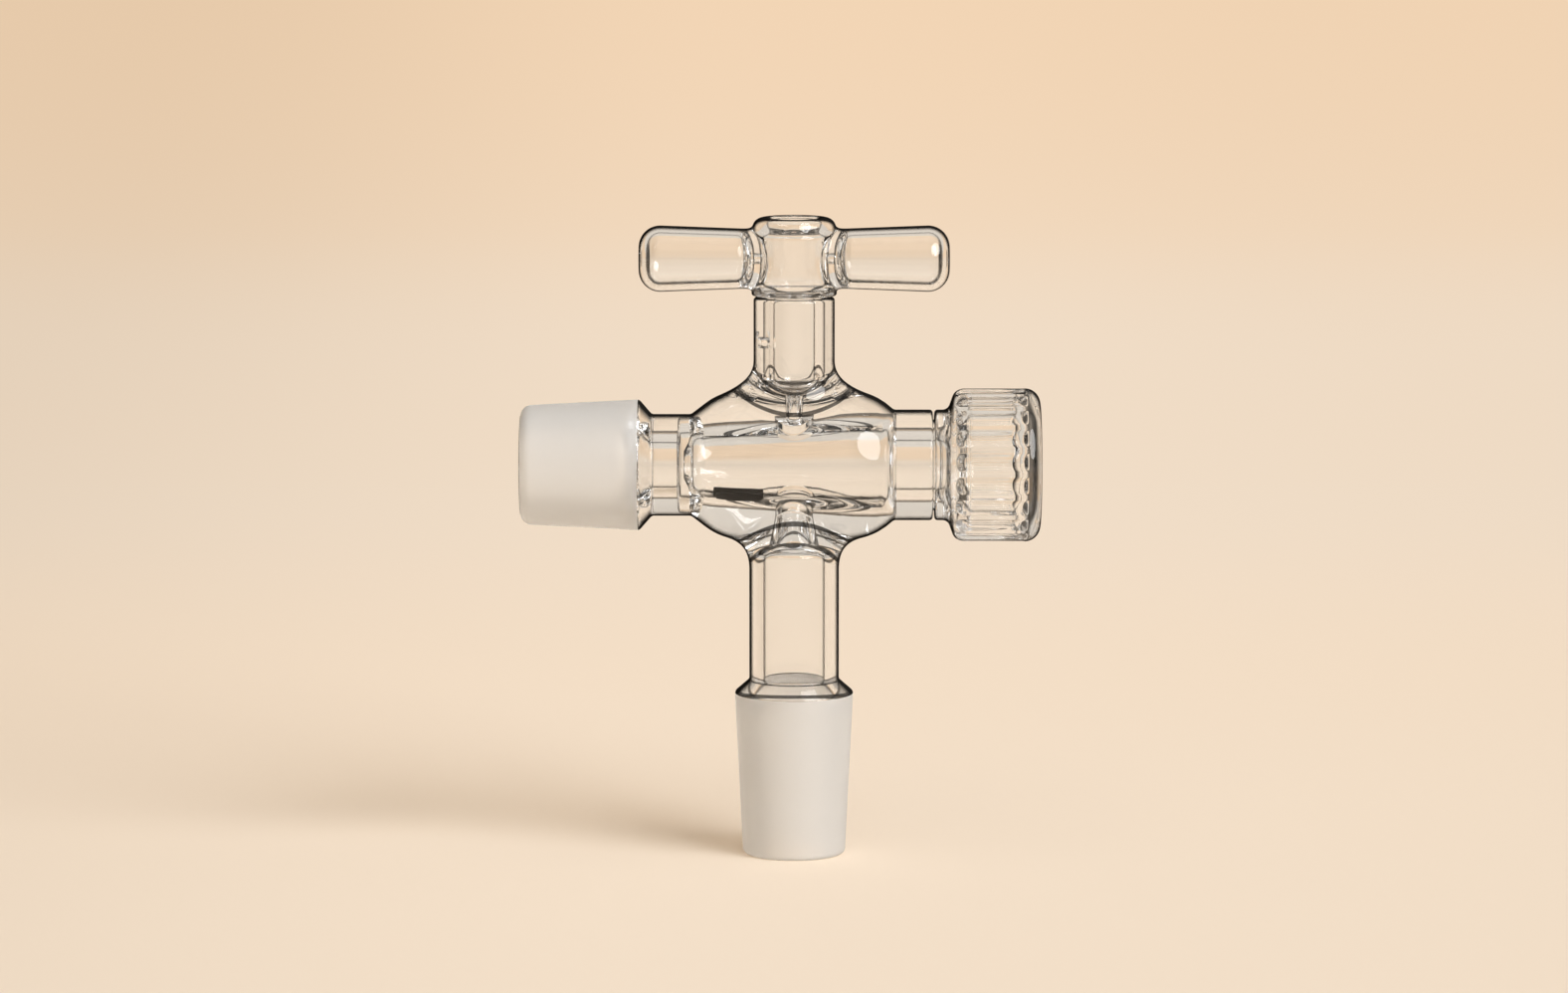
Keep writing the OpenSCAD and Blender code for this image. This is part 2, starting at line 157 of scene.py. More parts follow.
class StopcockKey(bpy.types.PropertyGroup):
    """Sizes of the vent key and its T handle"""

    bore_d: size("Key bore", "Bore of the key's ground plug", 6.6)
    tip_wall: size("Key tip", "Thickness of the key's closed tip", 1.2)
    port_d: size("Key port", "Diameter of the port in the key", 1.8)
    port_h: size("Port height", "Height of the port above the tip", 8)
    hub_d: size("Hub diameter", "Outer diameter of the hub", 13.2)
    hub_foot_d: size("Hub foot", "Diameter of the hub's foot", 13.5)
    hub_flare: size("Hub flare", "Height over which the foot flares into the hub", 1.9)
    hub_h: size("Hub height", "From the hub's foot to its open rim", 12.3)
    hub_mouth_d: size("Hub mouth", "Opening at the hub's rim", 8)
    hub_bore_d: size("Hub bore", "Widest bore of the blown hub", 10.3)
    hub_rim_r: size("Hub rim", "Rounding of the hub's open rim", 1.7)
    handle_h: size("Handle height", "Height of the handle's axis above the hub's foot", 5.8)
    handle_span: size("Handle span", "Length of the T handle, end to end", 49)
    handle_root_d: size("Handle root", "Handle diameter at the hub", 9.5)
    handle_end_d: size("Handle end", "Handle diameter at the ends", 10.7)
    handle_wall: size("Handle wall", "Wall thickness of the handle", 1.1)
    handle_end_r: size("Handle rounding", "Rounding of the handle's closed ends", 3.4)
    handle_fillet: size("Handle fillet", "How far the fused fillets spread over the hub", 0.6)
    handle_fillet_climb: size("Handle fillet climb", "How far they climb an arm in front and behind", 1.8)
    handle_root_wall: size("Root wall", "Glass between the hub's bore and an arm's hollow", 1.1)
    handle_root_r: size("Root rounding", "Rounding of that hollow's end at the hub", 3)
    blow_hole_d: size("Blow hole", "Small hole from the hub into an arm's hollow", 1.2)


class StopcockGlass(bpy.types.PropertyGroup):
    """Finish of the clear and the ground glass"""

    tint: colour("Glass tint", "Colour of the clear glass", (0.985, 0.99, 0.993))
    ior: number("Index", "Refractive index of borosilicate glass", 1.474, 1.3, 1.7)
    # Painted shade: the edge tone and the five numbers after it paint the glass dark where its surface turns
    # away, and earlier where it faces up, standing in for the dark room that the glass would show
    edge: colour("Edge tone", "Tone of the glass seen edge on", (0.012, 0.011, 0.010))
    edge_from: number("Edge start", "How far the surface turns away before it darkens", 0.54)
    edge_width: number("Edge width", "How much farther it turns until it is fully dark", 0.22)
    upper_edge: number("Upper edge", "How much earlier a surface that faces up darkens", 0.04)
    key_upper_edge: number("Key's upper edge", "The same on the vent key", 0.11)
    knob_edge: number("Knob edge", "How much later the fluted knob darkens", 0.09)
    shade: colour("Shade", "What one wall of glass lets through into the shadow", (0.88, 0.825, 0.755))
    frost: colour("Frost", "Colour of the ground cones", (0.8, 0.805, 0.805))
    frost_roughness: number("Frost roughness", "Roughness of the ground cones", 0.55)
    frost_through: number("Frost clearness", "How much light the ground glass lets through", 0.6)


class StopcockStage(bpy.types.PropertyGroup):
    """Floor, light and camera"""

    paper: colour("Paper", "Colour of the backdrop", (0.89, 0.665, 0.46))
    near: colour("Near paper", "Colour of the floor in front", (0.868, 0.745, 0.612))
    beyond: colour("Beyond", "Colour past the edge of the paper", (0.87, 0.71, 0.54))
    # Painted shade: the paper darkens towards this colour at the sides, standing in for light that falls off
    # there
    dim: colour("Dim paper", "What the paper darkens towards at the sides", (0.3, 0.2, 0.1))
    sweep_width: size("Paper width", "Width of the paper sweep", 6000)
    sweep_height: size("Paper height", "Height of the sweep behind", 400)
    room_tone: colour("Room tone", "Colour of the room and of the fill light", (1.0, 0.9, 0.78))
    room: number("Room", "Strength of the room that the glass shows", 0.72)
    fill: number("Fill", "Strength of the fill light", 0.36)
    key: number("Key light", "Strength of the large softbox in front on the right", 3.15, 0, 20)
    key_angle: number("Key size", "Width of that softbox in degrees, seen from the object", 42, 0, 120)
    top: number("Top light", "Strength of the light above", 0.4, 0, 20)
    distance: size("Camera distance", "From the camera to the object", 1000)
    lens: FloatProperty(name="Lens", description="Focal length", default=145, unit="CAMERA")
    elevation: number("Elevation", "Camera height over the horizon, in degrees", 7.5, -90, 90)
    target: FloatVectorProperty(
        name="Target", description="Where the camera looks", default=(-0.0016, 0, 0.0572), precision=4,
        subtype="XYZ", unit="LENGTH")


def sizes(group):
    """A property group's values, with its lengths in millimetres."""
    values = {}
    for key in type(group).__annotations__:
        value = getattr(group, key)
        is_length = group.bl_rna.properties[key].unit == "LENGTH"
        values[key] = round(value * 1000, 4) if is_length else value
    return SimpleNamespace(**values)


# ---- Outlines ----

CONE_SLOPE = 0.05  # growth of a ground cone's radius along its axis
EDGE_R = 0.8
SIDE_END_R = 2.0
CREASE_R = 1.0
RIM_R = 0.5
LIP = 0.4
LIP_RISE = 0.73  # how far a seat's lip opens, as a share of its depth
POLISH_R = 0.15
CAVITY_R = 2.5
LONG_SHOULDER_R = 10.0
SHORT_SHOULDER_R = 11.0
PULL = 0.7  # share of the way to its bend at which a fillet's curve is pulled

FINE = 0.7  # degrees a segment, where an outline is used as a function of place
SMOOTH = 6.0  # degrees a segment on the knob and the handle
STRETCH = 3.5  # about the step along a straight part of an outline
REACH = 0.3  # from the ends of such a part to the next point
SAME = 1e-6  # closer together than this, two points of an outline are one
IN_LINE = math.radians(89.5)  # half the angle at a corner that is as good as straight
NEXT = 0.02  # the least step from a window's edge to the outline's next point


def rounded(points, step=8.0):
    """An outline of [radius, height, corner radius] as a line whose corners are
    tangent arcs of about `step` degrees a segment. Two corners share an edge by
    their radii. Straight stretches get a point REACH from each of their ends."""
    p = [np.array(q[:2], float) for q in points]
    r = [q[2] if len(q) > 2 else 0.0 for q in points]
    arcs = [p[:1]]
    for i in range(1, len(p) - 1):
        back, ahead = p[i - 1] - p[i], p[i + 1] - p[i]
        lengths = np.linalg.norm(back), np.linalg.norm(ahead)
        u, v = back / lengths[0], ahead / lengths[1]
        half = math.acos(np.clip(u @ v, -1, 1)) / 2
        if r[i] == 0 or half > IN_LINE:
            arcs.append([p[i]])
            continue
        tangent = min(
            r[i] / math.tan(half),
            lengths[0] * r[i] / (r[i] + r[i - 1]),
            lengths[1] * r[i] / (r[i] + r[i + 1]),
        )
        radius = tangent * math.tan(half)
        middle = (u + v) / np.linalg.norm(u + v)
        centre = p[i] + middle * tangent / math.cos(half)
        sweep = math.pi / 2 - half
        side = (p[i] + u * tangent - centre) / radius
        count = max(2, math.ceil(2 * math.degrees(sweep) / step))
        t = np.linspace(-sweep, sweep, count + 1)[:, None]
        across = side + middle * math.cos(sweep)
        across /= np.linalg.norm(across)
        arcs.append(list(centre - middle * radius * np.cos(t) - across * radius * np.sin(t)))
    arcs.append(p[-1:])
    line = []
    for a, b in zip(arcs, arcs[1:]):
        line += a
        stretch = np.linalg.norm(b[0] - a[-1])
        if stretch > SAME:
            ends = min(REACH, stretch / 3)
            inner = max(1, round((stretch - 2 * ends) / STRETCH))
            t = np.concatenate([[ends], np.linspace(ends, stretch - ends, inner + 1)[1:]]) / stretch
            line += list(a[-1] + (b[0] - a[-1]) * t[:, None])
    line += arcs[-1]
    line = np.array(line)
    apart = np.linalg.norm(np.diff(line, axis=0), axis=1) > SAME
    return line[np.concatenate([[True], apart])]


def by_place(line, sign=1):
    """The outline's points in order of their places, or in reverse with sign -1."""
    return line[np.argsort(sign * line[:, 1], kind="stable")]


def radius_at(line):
    """The outline's radius as a function of the place along its axis."""
    line = by_place(line)
    return lambda x: np.interp(x, line[:, 1], line[:, 0])


def spread(radius, start, stop, count, bend=12.0):
    """Places from start to stop, closer together where the outline bends: each
    step has an equal share of the length plus `bend` times the turning angle."""
    x = np.linspace(start, stop, 2000)
    turning = np.abs(np.diff(np.arctan(np.gradient(radius(x), x))))
    share = np.concatenate([[0], np.cumsum(np.abs(np.diff(x)) + bend * turning)])
    return np.interp(np.linspace(0, share[-1], count + 1), share, x)


def end_radius(joint_d, joint_len):
    """Radius of a ground cone's narrow end."""
    return joint_d / 2 - joint_len * CONE_SLOPE


# ---- Surfaces ----

CELLS = 4000  # points in the same cell of 1 / CELLS mm are joined
CELL_SHIFT = 0.371  # keeps round sizes away from a cell's edge

# Shares of the way between two rings, closer together near both ends
BOTH_ENDS = np.array([0, 0.04, 0.13, 0.25, 0.38, 0.5, 0.62, 0.75, 0.87, 0.96, 1])
WALL = np.array([0, 0.12, 0.5, 0.88, 1])  # the same, for the wall of a hole


def turned(line, angles):
    """A surface of revolution about X: P(i, j) = (height i, radius i sin angle j,
    radius i cos angle j)."""
    r, x = line[:, :1], line[:, 1:]
    return np.stack([x + 0 * angles, r * np.sin(angles), r * np.cos(angles)], -1)


def raised(line, theta):
    """A surface of revolution about Z, with its columns at the angles theta:
    P(i, j) = (radius i cos theta j, radius i sin theta j, height i)."""
    r, z = line[:, :1], line[:, 1:]
    return np.stack([r * np.cos(theta), r * np.sin(theta), z + 0 * theta], -1)


def border(along, around):
    """A rectangle's edge on a tube, once round, as [place along, angle] pairs."""
    n, m = len(along), len(around)
    s = [np.full(m - 1, along[-1]), along[:0:-1], np.full(m - 1, along[0]), along[:-1]]
    a = [around[:-1], np.full(n - 1, around[-1]), around[:0:-1], np.full(n - 1, around[0])]
    return np.stack([np.concatenate(s), np.concatenate(a)], -1)


def window(radius, edge, ring):
    """The tube between a ring on it and a rectangle round the ring: straight
    lines in the unrolled plane of place along and angle round the tube."""
    t = BOTH_ENDS[:, None]
    s = ring[:, 0] + (edge[:, 0] - ring[:, 0]) * t
    ring_a = np.arctan2(ring[:, 1], ring[:, 2])
    a = ring_a + (edge[:, 1] - ring_a) * t
    r = radius(s)
    return np.stack([s, r * np.sin(a), r * np.cos(a)], -1)


def ring_on(radius, x, y):
    """Points on an X tube above the plan points x, y: height = sqrt(radius(x)^2 - y^2)."""
    return np.stack([x, y, np.sqrt(radius(x) ** 2 - y**2)], -1)


def circle_on(radius, d, theta):
    """Where a round branch of radius d meets the tube."""
    return ring_on(radius, d * np.cos(theta), d * np.sin(theta))


def bridge(a, b, shares=WALL):
    """Straight lines from ring a to ring b."""
    return a + (b - a) * shares[:, None, None]


def fillet(radius, branch_r, spreads, climbs, theta, steps=14):
    """A fused fillet between a tube and a branch: at each angle a cubic curve from
    the tube's surface to the branch's wall, tangent to both. Its spread and climb
    go from those along the tube to those round it with cos^2 theta."""
    along = np.cos(theta) ** 2
    spread_by = spreads[1] + (spreads[0] - spreads[1]) * along
    climb = climbs[1] + (climbs[0] - climbs[1]) * along
    up = np.array([0, 0, 1])

    def foot(d):
        return circle_on(radius, d, theta)

    far = foot(branch_r + spread_by)
    nudge = 0.01
    slope = (foot(branch_r + spread_by - nudge) - foot(branch_r + spread_by + nudge))[:, 2] / (2 * nudge)
    wall = foot(branch_r) + climb[:, None] * up
    bend = wall * (1 - up) + (far[:, 2] + slope * spread_by)[:, None] * up
    first, second = far + (bend - far) * PULL, wall + (bend - wall) * PULL
    t = np.linspace(0, 1, steps + 1)[:, None, None]
    return far * (1 - t) ** 3 + first * 3 * t * (1 - t) ** 2 + second * 3 * t**2 * (1 - t) + wall * t**3


UP = [[1, 0, 0], [0, 1, 0], [0, 0, 1]]
DOWN = [[1, 0, 0], [0, -1, 0], [0, 0, -1]]


class Shell:
    """Grids of points, in millimetres, that join into one closed surface. turn is a
    3x3 matrix whose rows give the frame's X, Y and Z, lift a height added after it."""

    def __init__(self, around, turn=UP, lift=0.0):
        self.around, self.turn, self.lift = around, turn, lift
        self.quads = []

    def revolve(self, line):
        self.add(turned(line, self.around))

    def add(self, grid, closed=True, turn=None, lift=None):
        """A grid of points, its last column joined to its first where it is closed."""
        if closed:
            grid = np.concatenate([grid, grid[:, :1]], 1)
        grid = grid @ np.array(turn or self.turn, float).T + [0, 0, self.lift if lift is None else lift]
        corners = grid[:-1, :-1], grid[:-1, 1:], grid[1:, 1:], grid[1:, :-1]
        self.quads.append(np.stack(corners, 2).reshape(-1, 4, 3))

    def mesh(self, name):
        """Joins points that meet, turns quads with a merged corner into triangles,
        and faces everything outwards."""
        points = np.concatenate(self.quads).reshape(-1, 3)
        cells = np.floor(points * CELLS + CELL_SHIFT)
        _, first, index = np.unique(cells, axis=0, return_index=True, return_inverse=True)
        quads = index.reshape(-1, 4)
        same = quads == np.roll(quads, -1, 1)
        whole = quads[~same.any(1)]
        cut = quads[same.sum(1) == 1]
        keep = ~same[same.sum(1) == 1]
        triangles = cut[keep].reshape(-1, 3)
        mesh = bpy.data.meshes.new(name)
        mesh.from_pydata((points[first] / 1000).tolist(), [], whole.tolist() + triangles.tolist())
        work = bmesh.new()
        work.from_mesh(mesh)
        open_edges = sum(len(e.link_faces) != 2 for e in work.edges)
        if open_edges:
            raise RuntimeError(f"{name}: {open_edges} edges aren't between two faces")
        bmesh.ops.recalc_face_normals(work, faces=work.faces)
        if work.calc_volume(signed=True) < 0:
            bmesh.ops.reverse_faces(work, faces=work.faces)
        work.to_mesh(mesh)
        work.free()
        mesh.shade_smooth()
        return mesh


def new_object(name, data):
    """An object in the scene."""
    thing = bpy.data.objects.new(name, data)
    bpy.context.scene.collection.objects.link(thing)
    return thing


def new_piece(name, shell, body, node, material):
    """A finished piece that rides on a body and stands for a node."""
    piece = new_object(name, shell.mesh(name))
    piece.data.materials.append(material)
    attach(piece, body)
    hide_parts(node)


def joint_inside(joint_d, joint_len, wall, bore_d, shoulder_len):
    """Inside of a ground joint from its mouth at 0 to its neck's bore."""
    mouth_r = end_radius(joint_d, joint_len) - wall
    deep = joint_len - wall
    return [
        [mouth_r + LIP, 0, POLISH_R],
        [mouth_r, LIP, POLISH_R],
        [mouth_r + deep * CONE_SLOPE, deep, CAVITY_R],
        [bore_d / 2, joint_len + shoulder_len / 2, CAVITY_R / 2],
    ]


# ---- Body ----


def seat_radius(b):
    """The plug's seat: a cone of radius seat_d / 2 at the open rim."""
    rim_x = b.barrel_plug_len + b.plug_neck_len
    return lambda x: b.seat_d / 2 + (x - rim_x) * CONE_SLOPE


def key_levels(b):
    """Heights and seat of the vent key over the foot."""
    barrel_top = AXIS_Z + b.barrel_d / 2
    rim = barrel_top + b.key_neck_len
    return SimpleNamespace(
        rim=rim, tip=barrel_top - b.key_tip_depth, hub=rim + b.rim_gap,
        seat=lambda z: b.key_seat_d / 2 + (z - rim) * CONE_SLOPE)


def lip(seat, rim, up=0.0):
    """Two corners of an outline: a seat's polished lip at its rim, with heights
    counted from up."""
    return [
        [seat(rim - LIP) + LIP * LIP_RISE, rim - up, POLISH_R],
        [seat(rim - LIP), rim - LIP - up, POLISH_R]]


def from_edge(radius, place, line, sign):
    """An outline from a window's edge at a place onwards, sign 1 towards larger
    places and -1 towards smaller ones."""
    first = np.argmax(sign * line[:, 1] > sign * place + NEXT)
    return np.vstack([[radius(place), place], line[first:]])


def body_shell(b, k):
    """The body: two side revolves and two branches that share one ring count."""
    shell = Shell(np.radians(np.arange(160) * 2.25 - 90), lift=AXIS_Z)
    half = np.radians(np.linspace(-90, 90, 81))
    steps = 40
    side_x = -b.barrel_side_len
    joint_x = side_x - b.side_neck_len - b.shoulder_len
    end_x = joint_x - b.side_joint_len
    rim_x = b.barrel_plug_len + b.plug_neck_len
    end_r = end_radius(b.side_joint_d, b.side_joint_len)
    seat = seat_radius(b)
    outline = [
        [end_r, end_x], [b.side_joint_d / 2, joint_x, EDGE_R],
        [b.side_neck_d / 2, joint_x + b.shoulder_len, EDGE_R],
        [b.side_neck_d / 2, side_x, CREASE_R],
        [b.barrel_d / 2, side_x + b.long_shoulder, LONG_SHOULDER_R],
        [b.barrel_d / 2, b.barrel_plug_len - b.short_shoulder, SHORT_SHOULDER_R],
        [b.plug_neck_d / 2, b.barrel_plug_len, CREASE_R],
        [b.plug_neck_d / 2, rim_x]]
    barrel = radius_at(rounded(outline, step=FINE))
    zone = b.key_neck_d / 2 + b.key_fillet + 1.5  # half of the barrel's part with the two branches
    inner = 6.0  # and of the seat's part with their bores
    edge = border(spread(barrel, -zone, zone, steps), half)
    theta = np.arctan2(edge[:, 1] * b.barrel_d / 2, edge[:, 0])
    inner_edge = border(np.linspace(-inner, inner, steps + 1), half)

    # Side end: barrel, neck and ground cone, then in through the joint to the seat
    inside = joint_inside(
        b.side_joint_d, b.side_joint_len, b.side_joint_wall, b.side_bore_d, b.shoulder_len)
    line = rounded(
        [[q[0], q[1]] + q[2:] for q in outline[5:0:-1]]
        + [[end_r, end_x, SIDE_END_R]]
        + [[r, end_x + h, c] for r, h, c in inside]
        + [[b.side_bore_d / 2, -b.seat_depth, POLISH_R],
           [seat(-b.seat_depth), -b.seat_depth, RIM_R],
           [seat(-inner), -inner]])
    shell.revolve(from_edge(barrel, -zone, line, -1))

    # Plug's end: barrel, neck and rim, then in along the seat
    line = rounded(outline[4:7] + [[b.plug_neck_d / 2, rim_x, RIM_R]] + lip(seat, rim_x) + [
        [seat(inner), inner]])
    shell.revolve(from_edge(barrel, zone, line, 1))

    def branch(neck_r, spread_by, turn, bore_r, line, cut=raised):
        """Outer rectangle, fillet, neck, whatever the outline does, and back down
        the bore to the seat's rectangle."""
        spreads, climbs = (spread_by, b.round_fillet), (b.fillet_climb, b.round_fillet_climb)
        curve = fillet(barrel, neck_r, spreads, climbs, theta)
        foot = ring_on(barrel, curve[0, :, 0], curve[0, :, 1])
        rows = cut(line, theta)
        hole = circle_on(seat, bore_r, theta)
        for grid in (window(barrel, edge, foot), curve, bridge(curve[-1], rows[0], BOTH_ENDS), rows,
                     bridge(rows[-1], hole), window(seat, inner_edge, hole)):
            shell.add(grid, turn=turn)

    # Lower neck and ground joint; heights here run down from the plug's axis
    joint_top = AXIS_Z - b.lower_joint_len
    clear = b.barrel_d / 2 + b.fillet_climb + 0.5  # where a neck's fillet has ended
    seat_clear = b.seat_d / 2 + 1.3  # where a bore's outline stops above the plug's seat
    narrow = b.barrel_d / 2 + 1.5  # where the blown bore narrows to the port
    inside = joint_inside(
        b.lower_joint_d, b.lower_joint_len, b.lower_joint_wall, b.neck_bore_d, b.shoulder_len)
    branch(b.lower_neck_d / 2, b.lower_fillet, DOWN, b.lower_bore_d / 2, rounded(
        [[b.lower_neck_d / 2, clear],
         [b.lower_neck_d / 2, joint_top - b.shoulder_len, EDGE_R],
         [b.lower_joint_d / 2, joint_top, EDGE_R],
         [end_radius(b.lower_joint_d, b.lower_joint_len), AXIS_Z, EDGE_R]]
        + [[r, AXIS_Z - h, c] for r, h, c in inside]
        + [[b.neck_bore_d / 2, narrow, CAVITY_R],
           [b.lower_bore_d / 2, b.barrel_d / 2, RIM_R],
           [b.lower_bore_d / 2, seat_clear]]))

    # Key neck, its seat with the groove, and the passage to the plug's seat
    key = key_levels(b)
    bottom = key.tip - b.key_tip_space
    groove_low = key.tip + CAVITY_R - k.port_d
    groove_high = key.tip + k.port_h + k.port_d
    groove_x = key.seat(key.tip + CAVITY_R) + b.groove_depth - k.port_d / 2
    line = rounded([
        [b.key_neck_d / 2, clear],
        [b.key_neck_d / 2, key.rim - AXIS_Z, RIM_R], *lip(key.seat, key.rim, AXIS_Z),
        [key.seat(bottom), bottom - AXIS_Z, CAVITY_R],
        [b.vent_d / 2, bottom - AXIS_Z, POLISH_R],
        [b.vent_d / 2, seat_clear]])

    # The seat's wall gets a row of points on either side of each end of the groove
    wall_from = np.argmax(line[:, 0] < b.key_seat_d / 2)
    upper, lower = line[:wall_from], line[wall_from:]
    cuts = [end + step - AXIS_Z for end in (groove_high, groove_low) for step in (NEXT, -NEXT)]
    lower_radius = radius_at(lower[:np.argmax(lower[:, 0] < b.vent_d)])
    lower = np.vstack([lower] + [[lower_radius(z), z] for z in cuts])
    steep = lower[:, 0] > b.vent_d
    line = np.vstack([upper, by_place(lower[steep], -1), by_place(lower[~steep], -1)])

    def grooved(line, theta):
        """The neck's surface, with the radius taken out to a round groove of
        radius port_d / 2 about (-groove_x, 0) between its two ends."""
        r, z = line[:, :1], line[:, 1:]
        sine, cosine = groove_x * np.sin(theta), -groove_x * np.cos(theta)
        reach = (k.port_d / 2) ** 2 - sine**2
        cut = np.where((reach > 0) & (cosine > 0), cosine + np.sqrt(np.maximum(reach, 0)), 0)
        in_seat = np.arange(len(line))[:, None] >= len(upper)
        in_wall = (z > cuts[3] + NEXT / 2) & (z < cuts[0] - NEXT / 2) & in_seat
        r = np.where(in_wall, np.maximum(r, cut), r + 0 * cut)
        return np.stack([r * np.cos(theta), r * np.sin(theta), z + 0 * r], -1)

    branch(b.key_neck_d / 2, b.key_fillet, UP, b.vent_d / 2, line, grooved)
    return shell


# ---- Plug and fluted knob ----


CORNER = 0.07  # from a ridge's corner to the points on either side of it


def fluted_angles(p, knob_r):
    """Angles round the plug, the same for each flute: the ridge's middle, its two
    corners with a point on either side, and even steps down the flute."""
    pitch = 2 * math.pi / p.flutes
    corner, reach = p.ridge_w / 2 / knob_r, CORNER / knob_r
    valley = np.linspace(corner + reach, pitch - corner - reach, 10)
    one = np.concatenate([[0, corner - reach], valley, [pitch - corner + reach]])
    return (np.arange(p.flutes)[:, None] * pitch + one).ravel()


def flute_radius(p, knob_r, angles):
    """Radius of the fluted section: a flute is the arc that cuts flute_depth deep
    between two ridges, seen from the knob's axis."""
    pitch = 2 * math.pi / p.flutes
    half_w = (math.pi * 2 * knob_r / p.flutes - p.ridge_w) / 2
    flute_r = (half_w**2 + p.flute_depth**2) / (2 * p.flute_depth)
    centre = knob_r - p.flute_depth + flute_r
    off = np.mod(angles, pitch) - pitch / 2
    reach = flute_r**2 - (centre * np.sin(off)) ** 2
    valley = centre * np.cos(off) - np.sqrt(np.maximum(reach, 0))
    return np.where(reach > 0, np.minimum(valley, knob_r), knob_r)


SLOT_ENDS = 1.35  # evens out the points between the slot's straight sides and its round ends
SLOT_LEAN = 0.2  # share of its width that the slot keeps on the inside
MOUTH_STEP = 0.05  # the least step from the mouth's edge to the dome's next point


def pierce(shell, walls, edge, rings, turn, lift=None):
    """A hole through a wall: windows in its two surfaces, and the hole's own wall."""
    for radius, ring in zip(walls, rings):
        shell.add(window(radius, edge, ring), turn=turn, lift=lift)
    shell.add(bridge(*rings), turn=turn, lift=lift)


def plug_shell(b, p):
    """The plug: left and right revolves, the slot's part and the ports' part."""
    seat = seat_radius(b)
    knob_r = b.barrel_d / 2 + p.knob_rise
    around = fluted_angles(p, knob_r)
    shell = Shell(around, lift=AXIS_Z)
    full = np.concatenate([around, around[:1] + 2 * math.pi])
    quarter = len(around) // 4
    from_top = np.concatenate([around[-quarter:] - 2 * math.pi, around[:quarter + 1]])
    tip_x = p.tip_space - b.seat_depth
    collar_x = b.barrel_plug_len + b.plug_neck_len + b.rim_gap
    knob_x = collar_x + p.collar_len
    end_x = knob_x + p.knob_len
    bore_r = b.lower_bore_d / 2
    port = bore_r + 1.25  # half of the part with the two ports
    slot_left = -p.slot_offset - p.slot_len / 2 - 0.8  # where the part with the slot begins
    cavity_r = knob_r - p.knob_wall

    def outer(x):
        return seat(x) - b.clearance

    def inner(x):
        return outer(x) - p.wall

    # Domed tip with its mouth, outside and inside
    mouth_r = p.mouth_d / 2
    dome = rounded([[0, tip_x], [outer(tip_x), tip_x, outer(tip_x)], [outer(slot_left), slot_left]])
    mouth_x = float(np.interp(mouth_r, dome[:, 0], dome[:, 1]))
    dome = np.vstack([[mouth_r, mouth_x], dome[dome[:, 0] > mouth_r + MOUTH_STEP]])
    hollow_r = inner(tip_x + p.tip_wall)
    line = np.vstack([dome[::-1], rounded([
        [mouth_r, mouth_x], [mouth_r, tip_x + p.tip_wall, LIP],
        [hollow_r, tip_x + p.tip_wall, hollow_r], [inner(slot_left), slot_left]])[1:]])
    shell.revolve(line)

    # Bleed slot
    along = np.linspace(slot_left, -port, 31)
    window_from = len(around) // 2
    window_to = window_from + quarter
    centre_a = 2 * math.pi - math.radians(90 + p.slot_angle)
    edge = border(along, full[window_from:window_to + 1] - centre_a)
    at = np.arctan2(edge[:, 1] * outer(-p.slot_offset), edge[:, 0] + p.slot_offset)
    straight = (p.slot_len - p.slot_w) / 2
    x = -p.slot_offset + (p.slot_w / 2 * np.cos(at) + straight * np.clip(SLOT_ENDS * np.cos(at), -1, 1))
    y = p.slot_w / 2 * np.sin(at)
    # The local frame has the slot's middle at the top; turning back puts it in place
    cosine, sine = math.cos(centre_a), math.sin(centre_a)
    back = [[1, 0, 0], [0, cosine, sine], [0, -sine, cosine]]
    rings = ring_on(outer, x, y), ring_on(inner, x, y * SLOT_LEAN)
    pierce(shell, (outer, inner), edge, rings, back)
    others = np.concatenate([full[window_to:-1], full[:window_from + 1] + 2 * math.pi])
    for radius in (outer, inner):
        line = np.stack([radius(along), along], -1)
        shell.add(turned(line, others), closed=False)

    # The two ports
    edge = border(np.linspace(-port, port, 31), from_top)
    theta = np.arctan2(edge[:, 1] * outer(0), edge[:, 0])
    rings = circle_on(outer, bore_r, theta), circle_on(inner, bore_r, theta)
    for turn in (UP, DOWN):
        pierce(shell, (outer, inner), edge, rings, turn)

    # Ground cone, collar and knob, with the flutes cut out of the outline
    collar_r = b.plug_neck_d / 2
    line = rounded([
        [outer(port), port], [outer(collar_x), collar_x, POLISH_R], [collar_r, collar_x, RIM_R],
        [collar_r, knob_x, p.knob_flare], [knob_r, knob_x + p.knob_flare, p.knob_back_r],
        [knob_r, end_x, p.knob_end_r], [0, end_x]], step=SMOOTH)
    grid = turned(line, around)
    most = flute_radius(p, knob_r, around)
    shrink = np.minimum(1, most / np.maximum(line[:, :1], SAME))
    run_out = np.clip((end_x - p.knob_end_r - line[:, 1:]) / p.flute_stop, 0, 1)
    shrink = 1 - (1 - shrink) * run_out**2 * (3 - 2 * run_out)
    grid[..., 1:] *= shrink[..., None]
    shell.add(grid)

    # The hollow, from the ports to the closed end of the knob
    line = rounded([
        [inner(port), port], [inner(p.hollow_len), p.hollow_len, CAVITY_R],
        [p.shank_bore_d / 2, p.hollow_len, LIP], [p.shank_bore_d / 2, knob_x, CAVITY_R],
        [cavity_r, knob_x + p.knob_wall, CAVITY_R], [cavity_r, end_x - p.knob_wall, CAVITY_R],
        [0, end_x - p.knob_wall]])
    shell.revolve(line)
    return shell


# ---- Vent key and T handle ----


